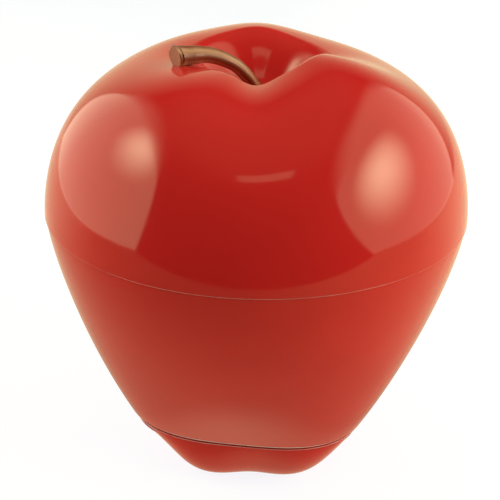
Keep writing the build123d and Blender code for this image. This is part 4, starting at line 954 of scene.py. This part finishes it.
def makeTable():
    left, right, front, rear = paper["edges"]
    mesh = bpy.data.meshes.new("table")
    corners = [(left, front, 0), (right, front, 0), (right, rear, 0), (left, rear, 0)]
    mesh.from_pydata(corners, [], [(0, 1, 2, 3)])
    table = linkNew("table", mesh)
    table.location.z = cadBox[0].z - paper["below"]
    finish, tree, shader = newFinish("whitePaper", {"Roughness": paper["roughness"]})
    where = put(tree, textureCoordinate).outputs["Object"]
    spot = put(tree, split, [where]).outputs
    ray = put(tree, "ShaderNodeLightPath").outputs
    tone = put(tree, easeRange, [spot["X"], *paper["toneFrom"], *paper["tone"]])
    cream = put(tree, mixColour, {0: tone, 6: (0, 0, 0, 1), 7: linearColour(paper["colour"])})
    plug(tree, shader, {"Base Color": cream})
    inGloss = put(tree, largest, [ray["Is Glossy Ray"], ray["Is Transmission Ray"]])
    sweep = put(tree, easeRange, [spot["Y"], *paper["inGlossFrom"], *paper["inGloss"]])
    fromAxis = put(tree, vectorLength, [where])
    # a painted pool of light right under the foot, which the table shows only in reflections, where the
    # object's shadow falls
    paintedFootGlow = put(tree, easeRange, [fromAxis, *paper["paintedFootGlowFrom"], 0.0, paper["paintedFootGlow"]])
    mirrored = put(tree, plus, [sweep, paintedFootGlow])
    seen = put(tree, timesPlus, [inGloss, mirrored, ray["Is Camera Ray"]])
    strength = put(tree, times, [seen, paper["glow"]])
    tones = {6: linearColour(paper["colour"]), 7: linearColour(paper["glowColour"])}
    colour = put(tree, mixColour, {0: ray["Is Camera Ray"], **tones})
    glow = put(tree, "ShaderNodeEmission", {"Color": colour, "Strength": strength})
    plug(tree, tree.nodes["Material Output"], {"Surface": put(tree, "ShaderNodeAddShader", [shader, glow])})
    mesh.materials.append(finish)


# the room: white to the camera, dark in front, bright behind and a little bright overhead in gloss
room = {"front": 0.03, "back": 1.0, "backFrom": (0.6, 1.0), "above": 0.2, "aboveFrom": (0.7, 0.95),
        "fill": 0.04, "colour": "#FFF2C4"}


def lightRoom():
    scene.world = scene.world or bpy.data.worlds.new("room")
    scene.world.use_nodes = True
    tree = scene.world.node_tree
    ray = put(tree, "ShaderNodeLightPath").outputs
    way = put(tree, split, [put(tree, textureCoordinate).outputs["Generated"]]).outputs
    behind = put(tree, mapRange, [way["Y"], *room["backFrom"], room["front"], room["back"]])
    above = put(tree, mapRange, [way["Z"], *room["aboveFrom"], 0.0, room["above"]])
    inGloss = put(tree, largest, [behind, above])
    level = put(tree, mixNumber, {0: ray["Is Diffuse Ray"], 2: inGloss, 3: room["fill"]})
    level = put(tree, mixNumber, {0: ray["Is Camera Ray"], 2: level, 3: 1.0})
    white = put(tree, mixColour, {0: ray["Is Camera Ray"], 6: linearColour(room["colour"]), 7: (1, 1, 1, 1)})
    plug(tree, tree.nodes["Background"], {"Color": white, "Strength": level})


makeTable()
lightRoom()
scene.view_settings.view_transform = "Standard"
print("studio set")
